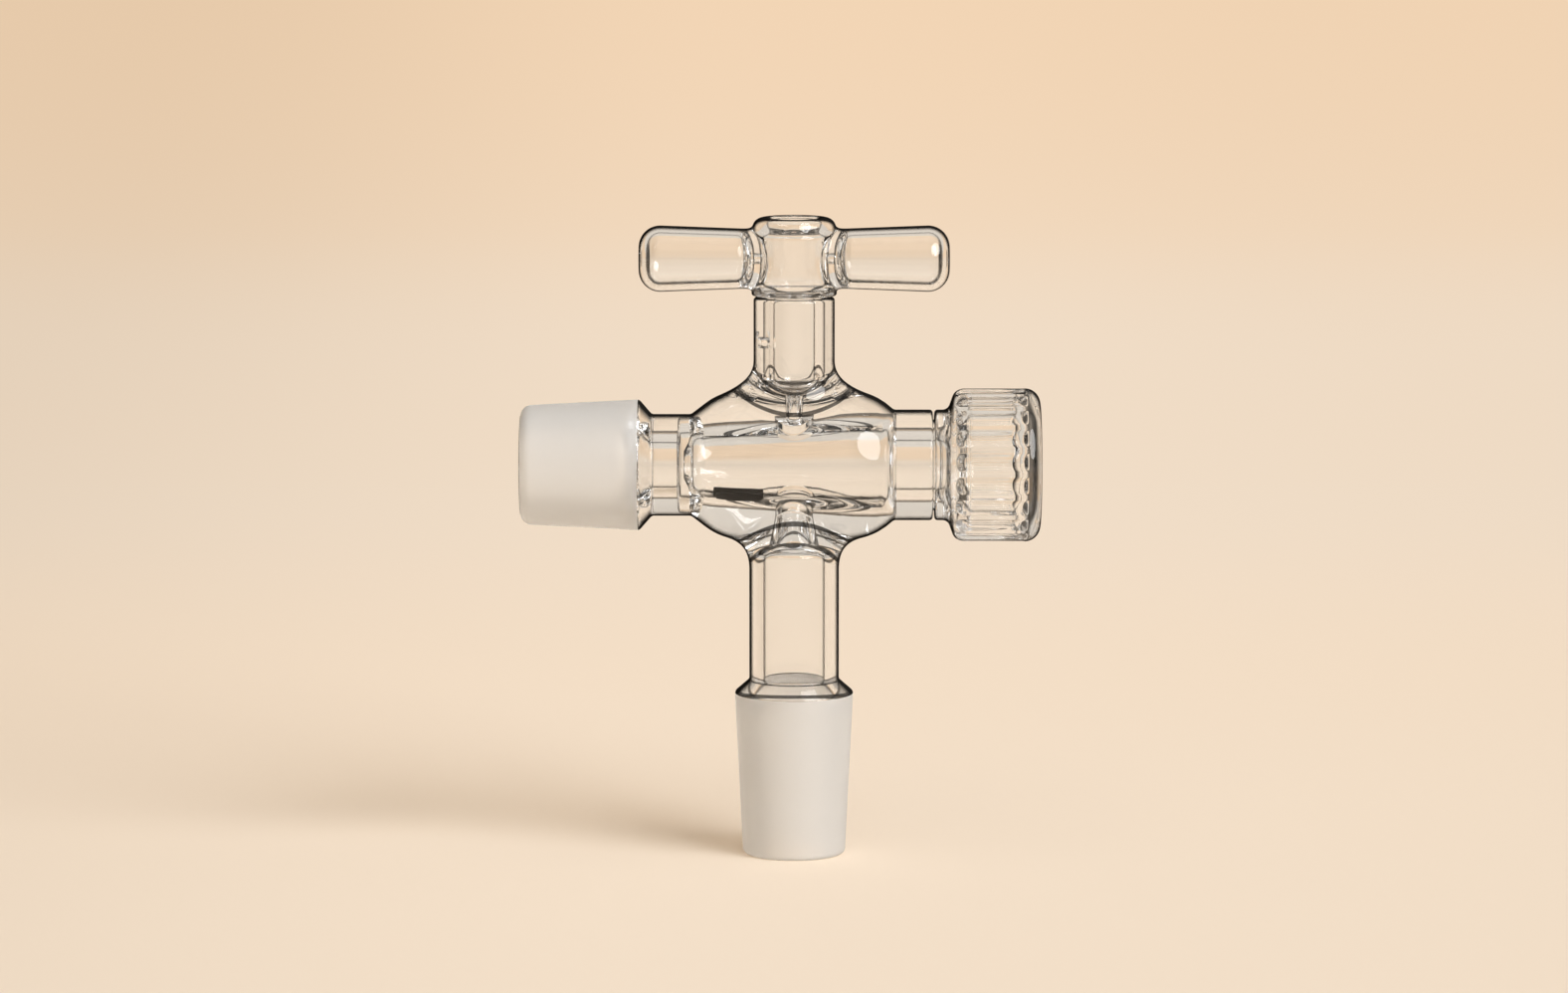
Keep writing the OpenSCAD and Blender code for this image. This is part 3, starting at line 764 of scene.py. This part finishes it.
def key_shell(b, k):
    """The key: a turned tube along Z with two blind arms and one small port."""
    # The turned tube lies on its side in its own frame: places along it are heights
    def facing(side):
        return [[0, 0, side], [0, side, 0], [1, 0, 0]]

    shell = Shell(np.radians(np.arange(144) * 2.5 - 90), turn=facing(1))
    half = np.radians(np.linspace(-90, 90, 73))
    key = key_levels(b)
    hub_top = key.hub + k.hub_h
    axis_z = key.hub + k.handle_h
    port_z = key.tip + k.port_h

    def cone(z):
        return key.seat(z) - b.clearance

    def bore(z):
        return k.bore_d / 2 + 0 * z

    def hub_bore(z):
        return k.hub_bore_d / 2 + 0 * z

    outline = [
        [cone(key.tip), key.tip], [cone(key.hub), key.hub, POLISH_R], [k.hub_foot_d / 2, key.hub, RIM_R],
        [k.hub_d / 2, key.hub + k.hub_flare, k.hub_flare], [k.hub_d / 2, hub_top, k.hub_rim_r],
        [k.hub_mouth_d / 2 + LIP, hub_top, POLISH_R], [k.hub_mouth_d / 2, hub_top - LIP, POLISH_R],
        [k.hub_bore_d / 2, key.hub + k.hub_flare / 2, k.hub_flare], [k.bore_d / 2, key.hub, EDGE_R],
        [k.bore_d / 2, key.tip + k.tip_wall]]
    # The hub's outside, between a corner within its foot and one within its rim
    outside = radius_at(rounded(
        [[k.hub_foot_d / 2 - 1, key.hub]] + outline[2:5] + [[k.hub_d / 2 - 1.8, hub_top]], step=FINE)[1:-1])
    bore_r = k.hub_bore_d / 2
    foot = k.handle_root_d / 2 + k.handle_fillet
    low, high = axis_z - foot - 0.15, axis_z + foot + 0.65  # the hub's part with the arms
    inner_low, inner_high = axis_z - 3.0, axis_z + 3.0  # and its bore's part with the blow holes

    # Rim of the hub, over from the outside to the bore
    line = rounded(outline[3:7] + [
        [k.hub_mouth_d / 2, hub_top - k.hub_rim_r / 2, k.hub_rim_r],
        [bore_r, hub_top - k.hub_rim_r * 1.6, k.hub_rim_r], [bore_r, inner_high]], step=9)
    shell.revolve(from_edge(outside, high, line, 1))

    # The arms, outside and inside
    steps = 26
    edge = border(spread(outside, low, high, steps, 6.0), half)
    edge[:, 0] -= axis_z
    theta = np.arctan2(edge[:, 1] * k.hub_d / 2, edge[:, 0])
    inner_edge = border(np.linspace(inner_low, inner_high, steps + 1) - axis_z, half)
    root_r, end_r, span = k.handle_root_d / 2, k.handle_end_d / 2, k.handle_span / 2
    clear = k.hub_d / 2 + 2 * k.handle_fillet + 0.5
    outer_line = rounded([[root_r, clear], [end_r, span, k.handle_end_r], [0, span]], step=SMOOTH)
    wall = k.handle_wall
    start, blow_r = bore_r + k.handle_root_wall, k.blow_hole_d / 2
    inner_line = rounded([
        [blow_r, start], [root_r - wall, start, k.handle_root_r],
        [end_r - wall, span - wall, k.handle_end_r - wall], [0, span - wall]], step=SMOOTH)

    def hub(x):
        return outside(x + axis_z)

    spread_by = k.handle_fillet
    curve = fillet(hub, root_r, (spread_by, spread_by), (2 * spread_by, k.handle_fillet_climb), theta, 10)
    rows = raised(outer_line, theta)

    # A small hole joins the domed hollow of an arm to the hub's bore
    inner_rows = raised(inner_line, theta)
    hole = circle_on(hub_bore, blow_r, theta)
    for side in (1, -1):
        for grid in (window(hub, edge, curve[0]), curve, bridge(curve[-1], rows[0], BOTH_ENDS), rows,
                     window(hub_bore, inner_edge, hole), bridge(hole, inner_rows[0]), inner_rows):
            shell.add(grid, turn=facing(side), lift=axis_z)

    # Hub's foot and ground cone down to the port, and from the port to the tip
    port_r = k.port_d / 2
    top, bottom = port_z + port_r + 0.5, port_z - port_r - 0.5
    line = rounded(outline[3:0:-1] + [[cone(top), top]])
    shell.revolve(from_edge(outside, low, line, -1))
    shell.revolve(rounded([[cone(bottom), bottom], [cone(key.tip), key.tip, CAVITY_R], [0, key.tip]]))

    # The same inside
    floor = key.tip + k.tip_wall
    shell.revolve(rounded([[bore_r, inner_low]] + outline[7:9] + [[bore(top), top]]))
    shell.revolve(rounded([[bore(bottom), bottom], [bore(floor), floor, CAVITY_R / 2], [0, floor]]))

    # The port, on the side away from the knob
    along = np.linspace(bottom, top, 13)
    edge = border(along - port_z, half)
    theta = np.arctan2(edge[:, 1] * 4, edge[:, 0])  # the cone's radius there is about 4 mm

    def cone_from_port(x):
        return cone(x + port_z)

    walls = cone_from_port, bore
    pierce(shell, walls, edge, [circle_on(wall, port_r, theta) for wall in walls], facing(-1), port_z)
    for wall in (cone, bore):
        shell.add(turned(np.stack([wall(along), along], -1), half), closed=False)
    return shell


# ---- Shader maths ----


class Value:
    """A number that varies over a surface. Python's operators add Math nodes."""

    def __init__(self, graph, socket):
        self.graph = graph
        self.socket = socket

    def maths(self, operation, *values):
        node = self.graph.add("ShaderNodeMath", {"operation": operation}, dict(enumerate(values)))
        return Value(self.graph, node.outputs[0])

    def __add__(self, other):
        return self.maths("ADD", self, other)

    def __sub__(self, other):
        return self.maths("SUBTRACT", self, other)

    def __rsub__(self, other):
        return self.maths("SUBTRACT", other, self)

    def __mul__(self, other):
        return self.maths("MULTIPLY", self, other)

    def __pow__(self, other):
        return self.maths("POWER", self, other)

    def __lt__(self, other):
        return self.maths("LESS_THAN", self, other)

    def __gt__(self, other):
        return self.maths("GREATER_THAN", self, other)

    def __abs__(self):
        return self.maths("ABSOLUTE", self)

    __radd__ = __add__
    __rmul__ = __mul__

    def between(self, low, high):
        """1 from low to high, and 0 outside."""
        return (self > low) * (self < high)

    def ramp(self, low, high):
        """Rises smoothly from 0 at low to 1 at high."""
        node = self.graph.add(
            "ShaderNodeMapRange", {"interpolation_type": "SMOOTHSTEP"},
            {"Value": self, "From Min": low, "From Max": high})
        return Value(self.graph, node.outputs["Result"])


def length(a, b):
    """Square root of a squared plus b squared."""
    return (a * a + b * b) ** 0.5


class Graph:
    """The nodes of a material, or of the world."""

    def __init__(self, name, owner=None):
        self.owner = owner or bpy.data.materials.new(name)
        self.owner.use_nodes = True
        self.tree = self.owner.node_tree
        self.tree.nodes.clear()

    def add(self, kind, settings=None, inputs=None):
        """One node: its settings first, then each socket's value or link."""
        node = self.tree.nodes.new(kind)
        for key, value in (settings or {}).items():
            setattr(node, key, value)
        for key, value in (inputs or {}).items():
            socket = node.inputs[key]
            if isinstance(value, Value):
                value = value.socket
            if isinstance(value, bpy.types.NodeSocket):
                self.tree.links.new(value, socket)
            elif socket.type == "RGBA":
                socket.default_value = (*value, 1)
            else:
                socket.default_value = value
        return node

    def value(self, node, output=0):
        """What a node puts out, as a number to reckon with."""
        return Value(self, node.outputs[output])

    def place(self):
        """Object coordinates in metres: x, y, z and the vector's own socket."""
        vector = self.add("ShaderNodeTexCoord").outputs["Object"]
        parts = self.add("ShaderNodeSeparateXYZ", None, {0: vector})
        return [self.value(parts, i) for i in range(3)] + [vector]

    def noise(self, vector, scale, detail):
        return self.value(self.add(
            "ShaderNodeTexNoise", None, {"Vector": vector, "Scale": scale, "Detail": detail}))

    def bump(self, strength, distance, height):
        return self.add(
            "ShaderNodeBump", None, {"Strength": strength, "Distance": distance, "Height": height}).outputs[0]

    def mix(self, factor, first, second):
        """A colour between two."""
        return self.add("ShaderNodeMix", {"data_type": "RGBA"}, {0: factor, 6: first, 7: second}).outputs[2]

    def blend(self, factor, first, second):
        """A shader between two."""
        return self.add("ShaderNodeMixShader", None, {0: factor, 1: first.outputs[0], 2: second.outputs[0]})

    def finish(self, shader, kind="ShaderNodeOutputMaterial"):
        """The material or the world, with its last node in place."""
        self.add(kind, None, {"Surface": shader.outputs[0]})
        return self.owner


GRAIN_SCALE = 5200.0  # of the ground glass, per metre
CLOUD_SCALE = 140.0
CLOUDS = 0.12  # how much the ground glass's roughness varies
WALL_STOPS = 0.15  # share of the light that a wall keeps out of its shadow
GROUND_STOPS = 0.22  # and how much more a ground wall does
INSIDE_EASE = 0.2  # how much weaker the dark edge is where it is seen from within the glass


def glass(name, g, upper, contact, frost=None, dark=None, later=None):
    """Clear glass with painted dark edges: where its surface turns away it is painted dark,
    standing in for the dark room that glass shows at grazing angles, and `upper` earlier
    on surfaces that face up, as painted shade from above. Functions of x, y and z say
    where it has the ground cones' finish (frost), where painted shade makes it black
    (dark), how much later the painted edge darkens (later), and where two ground seats
    touch (contact): there grease makes the two pieces read as one, so the surface is
    left clear."""
    graph = Graph(name)
    x, y, z, vector = graph.place()
    clear = graph.add("ShaderNodeBsdfPrincipled", None, {
        "Base Color": tuple(g.tint), "Roughness": 0.0, "IOR": g.ior, "Transmission Weight": 1.0})
    # Painted shade: a dark shader for the edges, standing in for the dark room that glass shows at grazing
    # angles
    edge = graph.add("ShaderNodeBsdfPrincipled", None, {
        "Base Color": tuple(g.edge), "Roughness": 0.8, "IOR": g.ior, "Specular IOR Level": 0.0})
    facing = graph.value(graph.add("ShaderNodeLayerWeight", None, {"Blend": 0.5}), "Facing")
    geometry = graph.add("ShaderNodeNewGeometry")
    up = graph.value(graph.add("ShaderNodeSeparateXYZ", None, {0: geometry.outputs["Normal"]}), 2)
    # Painted shade from above: surfaces that face up are painted dark earlier
    start = g.edge_from - up * upper
    if later is not None:
        start = start + later(x, y, z)
    inside = graph.value(geometry, "Backfacing")
    shader = graph.blend(facing.ramp(start, start + g.edge_width) * (1 - inside * INSIDE_EASE), clear, edge)
    if dark is not None:
        shader = graph.blend(dark(x, y, z), shader, edge)
    stops = WALL_STOPS
    if frost is not None:
        ground_here = frost(x, y, z)
        stops = ground_here * GROUND_STOPS + stops
        cloud = graph.noise(vector, CLOUD_SCALE, 3.0)
        ground = graph.add("ShaderNodeBsdfPrincipled", None, {
            "Base Color": tuple(g.frost), "Roughness": g.frost_roughness + (cloud - 0.5) * CLOUDS,
            "IOR": g.ior, "Transmission Weight": g.frost_through,
            "Normal": graph.bump(0.15, 0.00005, graph.noise(vector, GRAIN_SCALE, 2.0))})
        shader = graph.blend(ground_here, shader, ground)
    shade = graph.add("ShaderNodeBsdfTransparent", None, {"Color": tuple(g.shade)})
    shadow = graph.value(graph.add("ShaderNodeLightPath"), "Is Shadow Ray")
    shader = graph.blend(shadow * (1 - stops), shader, shade)
    through = graph.add("ShaderNodeBsdfTransparent", None, {"Color": (1.0, 1.0, 1.0)})
    return graph.finish(graph.blend(contact(x, y, z), shader, through))


# The greased contact of the seats, in millimetres
CONTACT = 0.03  # a surface no farther than this from a seat's cone is on it
DOME = 5.4  # from the bottom of the plug's seat to where the cones touch
TIP = CAVITY_R + 0.1  # the same from the key's tip
RIM = LIP + 0.05  # and from a rim down


def on_cone(r, along, radius, start, end):
    """1 where a surface at radius r lies on a cone, between two places on its axis."""
    gap = abs(r - (along * CONE_SLOPE + radius / 1000))
    return (gap < CONTACT / 1000) * along.between(start / 1000, end / 1000)


def plug_contact(b, r, x, off):
    """The plug's seat, or the plug's cone, which is `off` smaller."""
    rim_x = b.barrel_plug_len + b.plug_neck_len
    return on_cone(r, x, seat_radius(b)(0) - off, DOME - b.seat_depth, rim_x - RIM)


def key_contact(b, r, z, off):
    """The same for the key."""
    key = key_levels(b)
    return on_cone(r, z, key.seat(0) - off, key.tip + TIP, key.rim - RIM)


# ---- Operators ----


# Edges of the ground finish, in millimetres
FROST_TOP = 0.2  # left clear under a cone's shoulder
SIDE_FROST_IN = 1.2  # how far it goes in over the side cone's rounded end
LOWER_FROST_IN = 0.9

# Painted shade on the fused fillets: dark rings that stand in for the dark refraction where each neck meets
# the barrel, in millimetres
FILLET_SHADE_SHARE = 0.6  # where the lower line lies on its fillet
FILLET_SHADE_LINE = 0.28  # half the width of that line
FILLET_SHADE_TOP = 0.12  # from the neck's wall to the line at the fillet's top
FILLET_SHADE_TOP_LINE = 0.06  # half the width of that one
FILLET_SHADE_FROM = 6.0  # how far from the plug's level they start
FILLET_SHADE_CLEAR = 10.5  # nothing nearer to the plug's axis has them
# how dark the painted shade rings are
FILLET_SHADE_DARK = 0.85

# Painted shade: the slot's walls and rim are painted black for the dark that the glass shows in the groove
SLOT_EDGE = 0.16  # how far the slot's dark walls reach over its rim, in millimetres


def read(context):
    """The pieces' sizes in millimetres, and the finish of the glass."""
    scene = context.scene
    pieces = scene.stopcock_body, scene.stopcock_plug, scene.stopcock_key
    return [sizes(group) for group in pieces] + [scene.stopcock_glass]


class STOPCOCK_OT_body(bpy.types.Operator):
    """Build the one-piece body: barrel, three necks and two ground joints"""

    bl_idname = "stopcock.body"
    bl_label = "Glass Body"

    def execute(self, context):
        b, p, k, g = read(context)

        def contact(x, y, z):
            on_plug = plug_contact(b, length(y, z - AXIS), x, 0.0)
            over_port = (length(x, y) < (b.lower_bore_d / 2 + 0.02) / 1000) * (z > AXIS)
            return on_plug * (1 - over_port) + key_contact(b, length(x, y), z, 0.0)

        def frost(x, y, z):
            """The outside of the two ground cones."""
            joint_x = -(b.barrel_side_len + b.side_neck_len + b.shoulder_len)
            side_r = end_radius(b.side_joint_d, b.side_joint_len) - SIDE_FROST_IN
            foot_r = end_radius(b.lower_joint_d, b.lower_joint_len) - LOWER_FROST_IN
            side = (x < (joint_x - FROST_TOP) / 1000) * (length(y, z - AXIS) > side_r / 1000)
            low = (z < (b.lower_joint_len - FROST_TOP) / 1000) * (length(x, y) > foot_r / 1000)
            return side + low

        def dark(x, y, z):
            """Painted shade: thin dark rings on the fused fillets, standing in for the dark
            refraction there, at the share of their spread given above and at their top."""
            above = z - AXIS
            mask = 0
            for neck_d, spread_by, side in (
                    (b.key_neck_d, b.key_fillet, above), (b.lower_neck_d, b.lower_fillet, above * -1)):
                neck_r = neck_d / 2
                wide, deep = neck_r + spread_by * FILLET_SHADE_SHARE, neck_r + b.round_fillet * FILLET_SHADE_SHARE
                low = abs(length(x * (1000 / wide), y * (1000 / deep)) - 1) < FILLET_SHADE_LINE / wide
                high = abs(length(x, y) - (neck_r + FILLET_SHADE_TOP) / 1000) < FILLET_SHADE_TOP_LINE / 1000
                mask = (low + high) * (side > FILLET_SHADE_FROM / 1000) + mask
            return mask * (length(y, above) > FILLET_SHADE_CLEAR / 1000) * FILLET_SHADE_DARK

        material = glass("stopcock_glass", g, g.upper_edge, contact, frost, dark)
        new_piece("glass_body", body_shell(b, k), "body", "body", material)
        return {"FINISHED"}


class STOPCOCK_OT_plug(bpy.types.Operator):
    """Build the hollow tapered plug with its ports, bleed slot and fluted knob"""

    bl_idname = "stopcock.plug"
    bl_label = "Plug and Fluted Knob"

    def execute(self, context):
        b, p, k, g = read(context)
        turn = math.radians(p.slot_angle)
        knob_x = b.barrel_plug_len + b.plug_neck_len + b.rim_gap + p.collar_len

        def contact(x, y, z):
            return plug_contact(b, length(y, z - AXIS), x, b.clearance)

        def dark(x, y, z):
            """Painted shade: the walls of the bleed slot and its sharp rim, painted black to stand in for the
            dark that the glass shows in the groove.
            """
            height = z - AXIS
            across = abs(y * math.sin(turn) - height * math.cos(turn))
            outwards = y * -math.cos(turn) - height * math.sin(turn)
            along = abs(x + p.slot_offset / 1000)
            in_width = across < (p.slot_w / 2 + SLOT_EDGE) / 1000
            in_length = along < (p.slot_len / 2 + SLOT_EDGE) / 1000
            return in_width * in_length * (outwards > 0)

        # The painted dark edge starts later on the fluted knob
        def later(x, y, z):
            return (x > knob_x / 1000) * g.knob_edge

        material = glass("plug_glass", g, g.upper_edge, contact, dark=dark, later=later)
        new_piece("glass_plug", plug_shell(b, p), "plug", "plug", material)
        return {"FINISHED"}


class STOPCOCK_OT_key(bpy.types.Operator):
    """Build the vent key with its open hub and hollow T handle"""

    bl_idname = "stopcock.key"
    bl_label = "Vent Key"

    def execute(self, context):
        b, p, k, g = read(context)

        def contact(x, y, z):
            return key_contact(b, length(x, y), z, b.clearance)

        material = glass("key_glass", g, g.key_upper_edge, contact)
        new_piece("glass_key", key_shell(b, k), "vent_key", "vent_key", material)
        return {"FINISHED"}


# Azimuth and elevation of the two lights, and how wide the upper one is, in degrees
KEY_FROM = 48, 33
TOP_FROM = 10, 66
TOP_ANGLE = 60


def sun(name, azimuth, elevation, angle, strength):
    """A far round softbox. azimuth runs from the camera's side towards +X."""
    data = bpy.data.lights.new(name, "SUN")
    data.energy, data.angle = strength, math.radians(angle)
    a, e = math.radians(azimuth), math.radians(elevation)
    towards = Vector((math.sin(a) * math.cos(e), -math.cos(a) * math.cos(e), math.sin(e)))
    new_object(name, data).rotation_euler = towards.to_track_quat("Z", "Y").to_euler()


# The paper sweep's profile, in metres: flat from FRONT_Y to ARC_Y, then up an arc
FRONT_Y = -3.0
ARC_Y = 1.1
ARC_R = 0.3

# Where its tone changes, in metres: from, to
WARM_NEAR = -0.1, 0.6
WARM_FAR = 0.7, 1.5
WARM_SHARE = 0.3  # of the whole change, that of the nearer one
# Painted shade: where the paper darkens towards the sides, and how much, standing in for light that falls off
SIDE_SHADE_LEFT = 0.01, 0.24
SIDE_SHADE_RIGHT = 0.02, 0.2
SIDE_SHADE_SHARES = 0.16, 0.03
UNLIT = 0.15, 0.45

# The dark part of the room: how far forwards and upwards a direction leads into it
FORWARDS = 0.15, 0.5
UPWARDS = -0.02, 0.12
CEILING = 0.94  # how dark it is, where 1 is black


def sweep(width, height):
    """The paper sweep: its profile carried across in X. The arc is P(t) = (ARC_Y +
    ARC_R sin t, ARC_R - ARC_R cos t), and a straight wall goes on from it."""
    arc = np.radians(np.linspace(0, 90, 19))
    profile = [(FRONT_Y, 0), (0, 0)]
    profile += [(ARC_Y + ARC_R * math.sin(t), ARC_R - ARC_R * math.cos(t)) for t in arc]
    profile.append((ARC_Y + ARC_R, height))
    points = [(x, y, z) for y, z in profile for x in (-width / 2, width / 2)]
    mesh = bpy.data.meshes.new("paper_sweep")
    mesh.from_pydata(points, [], [(i, i + 1, i + 3, i + 2) for i in range(0, len(points) - 2, 2)])
    mesh.shade_smooth()
    piece = new_object("paper_sweep", mesh)
    return piece


def paper_material(s):
    """Pale paper, warmer towards the back, with painted shade that darkens it towards the
    sides where the light would fall off. It is lit near the stopcock, and farther back it
    shows its colour without the lamps."""
    graph = Graph("paper")
    x, y, z, vector = graph.place()
    back = y + z * 2
    depth = back.ramp(*WARM_NEAR) * WARM_SHARE + back.ramp(*WARM_FAR) * (1 - WARM_SHARE)
    # Painted shade at the sides of the paper
    sides = (x * -1).ramp(*SIDE_SHADE_LEFT) * SIDE_SHADE_SHARES[0] + x.ramp(*SIDE_SHADE_RIGHT) * SIDE_SHADE_SHARES[1]
    tone = graph.mix(sides, graph.mix(depth, tuple(s.near), tuple(s.paper)), tuple(s.dim))
    fibres = graph.bump(0.1, 0.0002, graph.noise(vector, 900.0, 3.0))
    lit = graph.add("ShaderNodeBsdfPrincipled", None, {
        "Base Color": tone, "Roughness": 0.9, "Specular IOR Level": 0.0, "Normal": fibres})
    glow = graph.add("ShaderNodeEmission", None, {"Color": tone})
    return graph.finish(graph.blend(y.ramp(*UNLIT), lit, glow))


def studio(s):
    """The room round the stage: a plain tone to the camera past the paper, a pale
    room that is dark high in front for what the glass shows, and a low even fill
    for everything else."""
    world = bpy.data.worlds.new("studio")
    graph = Graph("studio", world)
    path = graph.add("ShaderNodeLightPath")
    x, y, z, vector = graph.place()
    pale = 1 - (y * -1).ramp(*FORWARDS) * z.ramp(*UPWARDS) * CEILING
    diffuse = graph.value(path, "Is Diffuse Ray")
    room = graph.add("ShaderNodeBackground", None, {
        "Color": tuple(s.room_tone), "Strength": diffuse * s.fill + (1 - diffuse) * pale * s.room})
    beyond = graph.add("ShaderNodeBackground", None, {"Color": tuple(s.beyond)})
    shader = graph.blend(graph.value(path, "Is Camera Ray"), room, beyond)
    return graph.finish(shader, "ShaderNodeOutputWorld")


class STOPCOCK_OT_stage(bpy.types.Operator):
    """Set the pale paper, the soft light and the camera"""

    bl_idname = "stopcock.stage"
    bl_label = "Stage, Light and Camera"

    def execute(self, context):
        scene = context.scene
        s = scene.stopcock_stage
        sweep(s.sweep_width, s.sweep_height).data.materials.append(paper_material(s))
        scene.world = studio(s)
        sun("key_light", *KEY_FROM, s.key_angle, s.key)
        sun("top_light", *TOP_FROM, TOP_ANGLE, s.top)

        data = bpy.data.cameras.new("camera")
        camera = new_object("camera", data)
        scene.camera = camera
        data.lens, data.sensor_width = s.lens, 36
        data.clip_start, data.clip_end = 0.01, 50
        tilt = math.radians(s.elevation)
        back = Vector((0, -math.cos(tilt), math.sin(tilt)))
        camera.location = Vector(s.target) + back * s.distance
        camera.rotation_euler = (-back).to_track_quat("-Z", "Y").to_euler()

        scene.view_settings.view_transform = "Standard"
        scene.cycles.max_bounces = 32
        scene.cycles.transmission_bounces = 28
        scene.cycles.transparent_max_bounces = 48
        scene.cycles.glossy_bounces = 12
        return {"FINISHED"}


class STOPCOCK_PT_panel(bpy.types.Panel):
    """The pieces of the stopcock, one button each"""

    bl_idname = "STOPCOCK_PT_panel"
    bl_label = "Stopcock"
    bl_space_type = "VIEW_3D"
    bl_region_type = "UI"
    bl_category = "Stopcock"

    def draw(self, context):
        for name, group in GROUPS.items():
            if name != "stopcock_glass":
                self.layout.operator(name.replace("_", "."))
            for key in group.__annotations__:
                self.layout.prop(getattr(context.scene, name), key)


GROUPS = {
    "stopcock_glass": StopcockGlass, "stopcock_body": StopcockBody, "stopcock_plug": StopcockPlug,
    "stopcock_key": StopcockKey, "stopcock_stage": StopcockStage,
}
CLASSES = (
    *GROUPS.values(), STOPCOCK_OT_body, STOPCOCK_OT_plug, STOPCOCK_OT_key, STOPCOCK_OT_stage,
    STOPCOCK_PT_panel)


def register():
    for cls in CLASSES:
        bpy.utils.register_class(cls)
    for name, cls in GROUPS.items():
        setattr(bpy.types.Scene, name, PointerProperty(type=cls))


def unregister():
    for name in GROUPS:
        delattr(bpy.types.Scene, name)
    for cls in reversed(CLASSES):
        bpy.utils.unregister_class(cls)


def main():
    register()
    bpy.ops.stopcock.stage()
    bpy.ops.stopcock.body()
    bpy.ops.stopcock.plug()
    bpy.ops.stopcock.key()


if __name__ == "__main__":
    main()
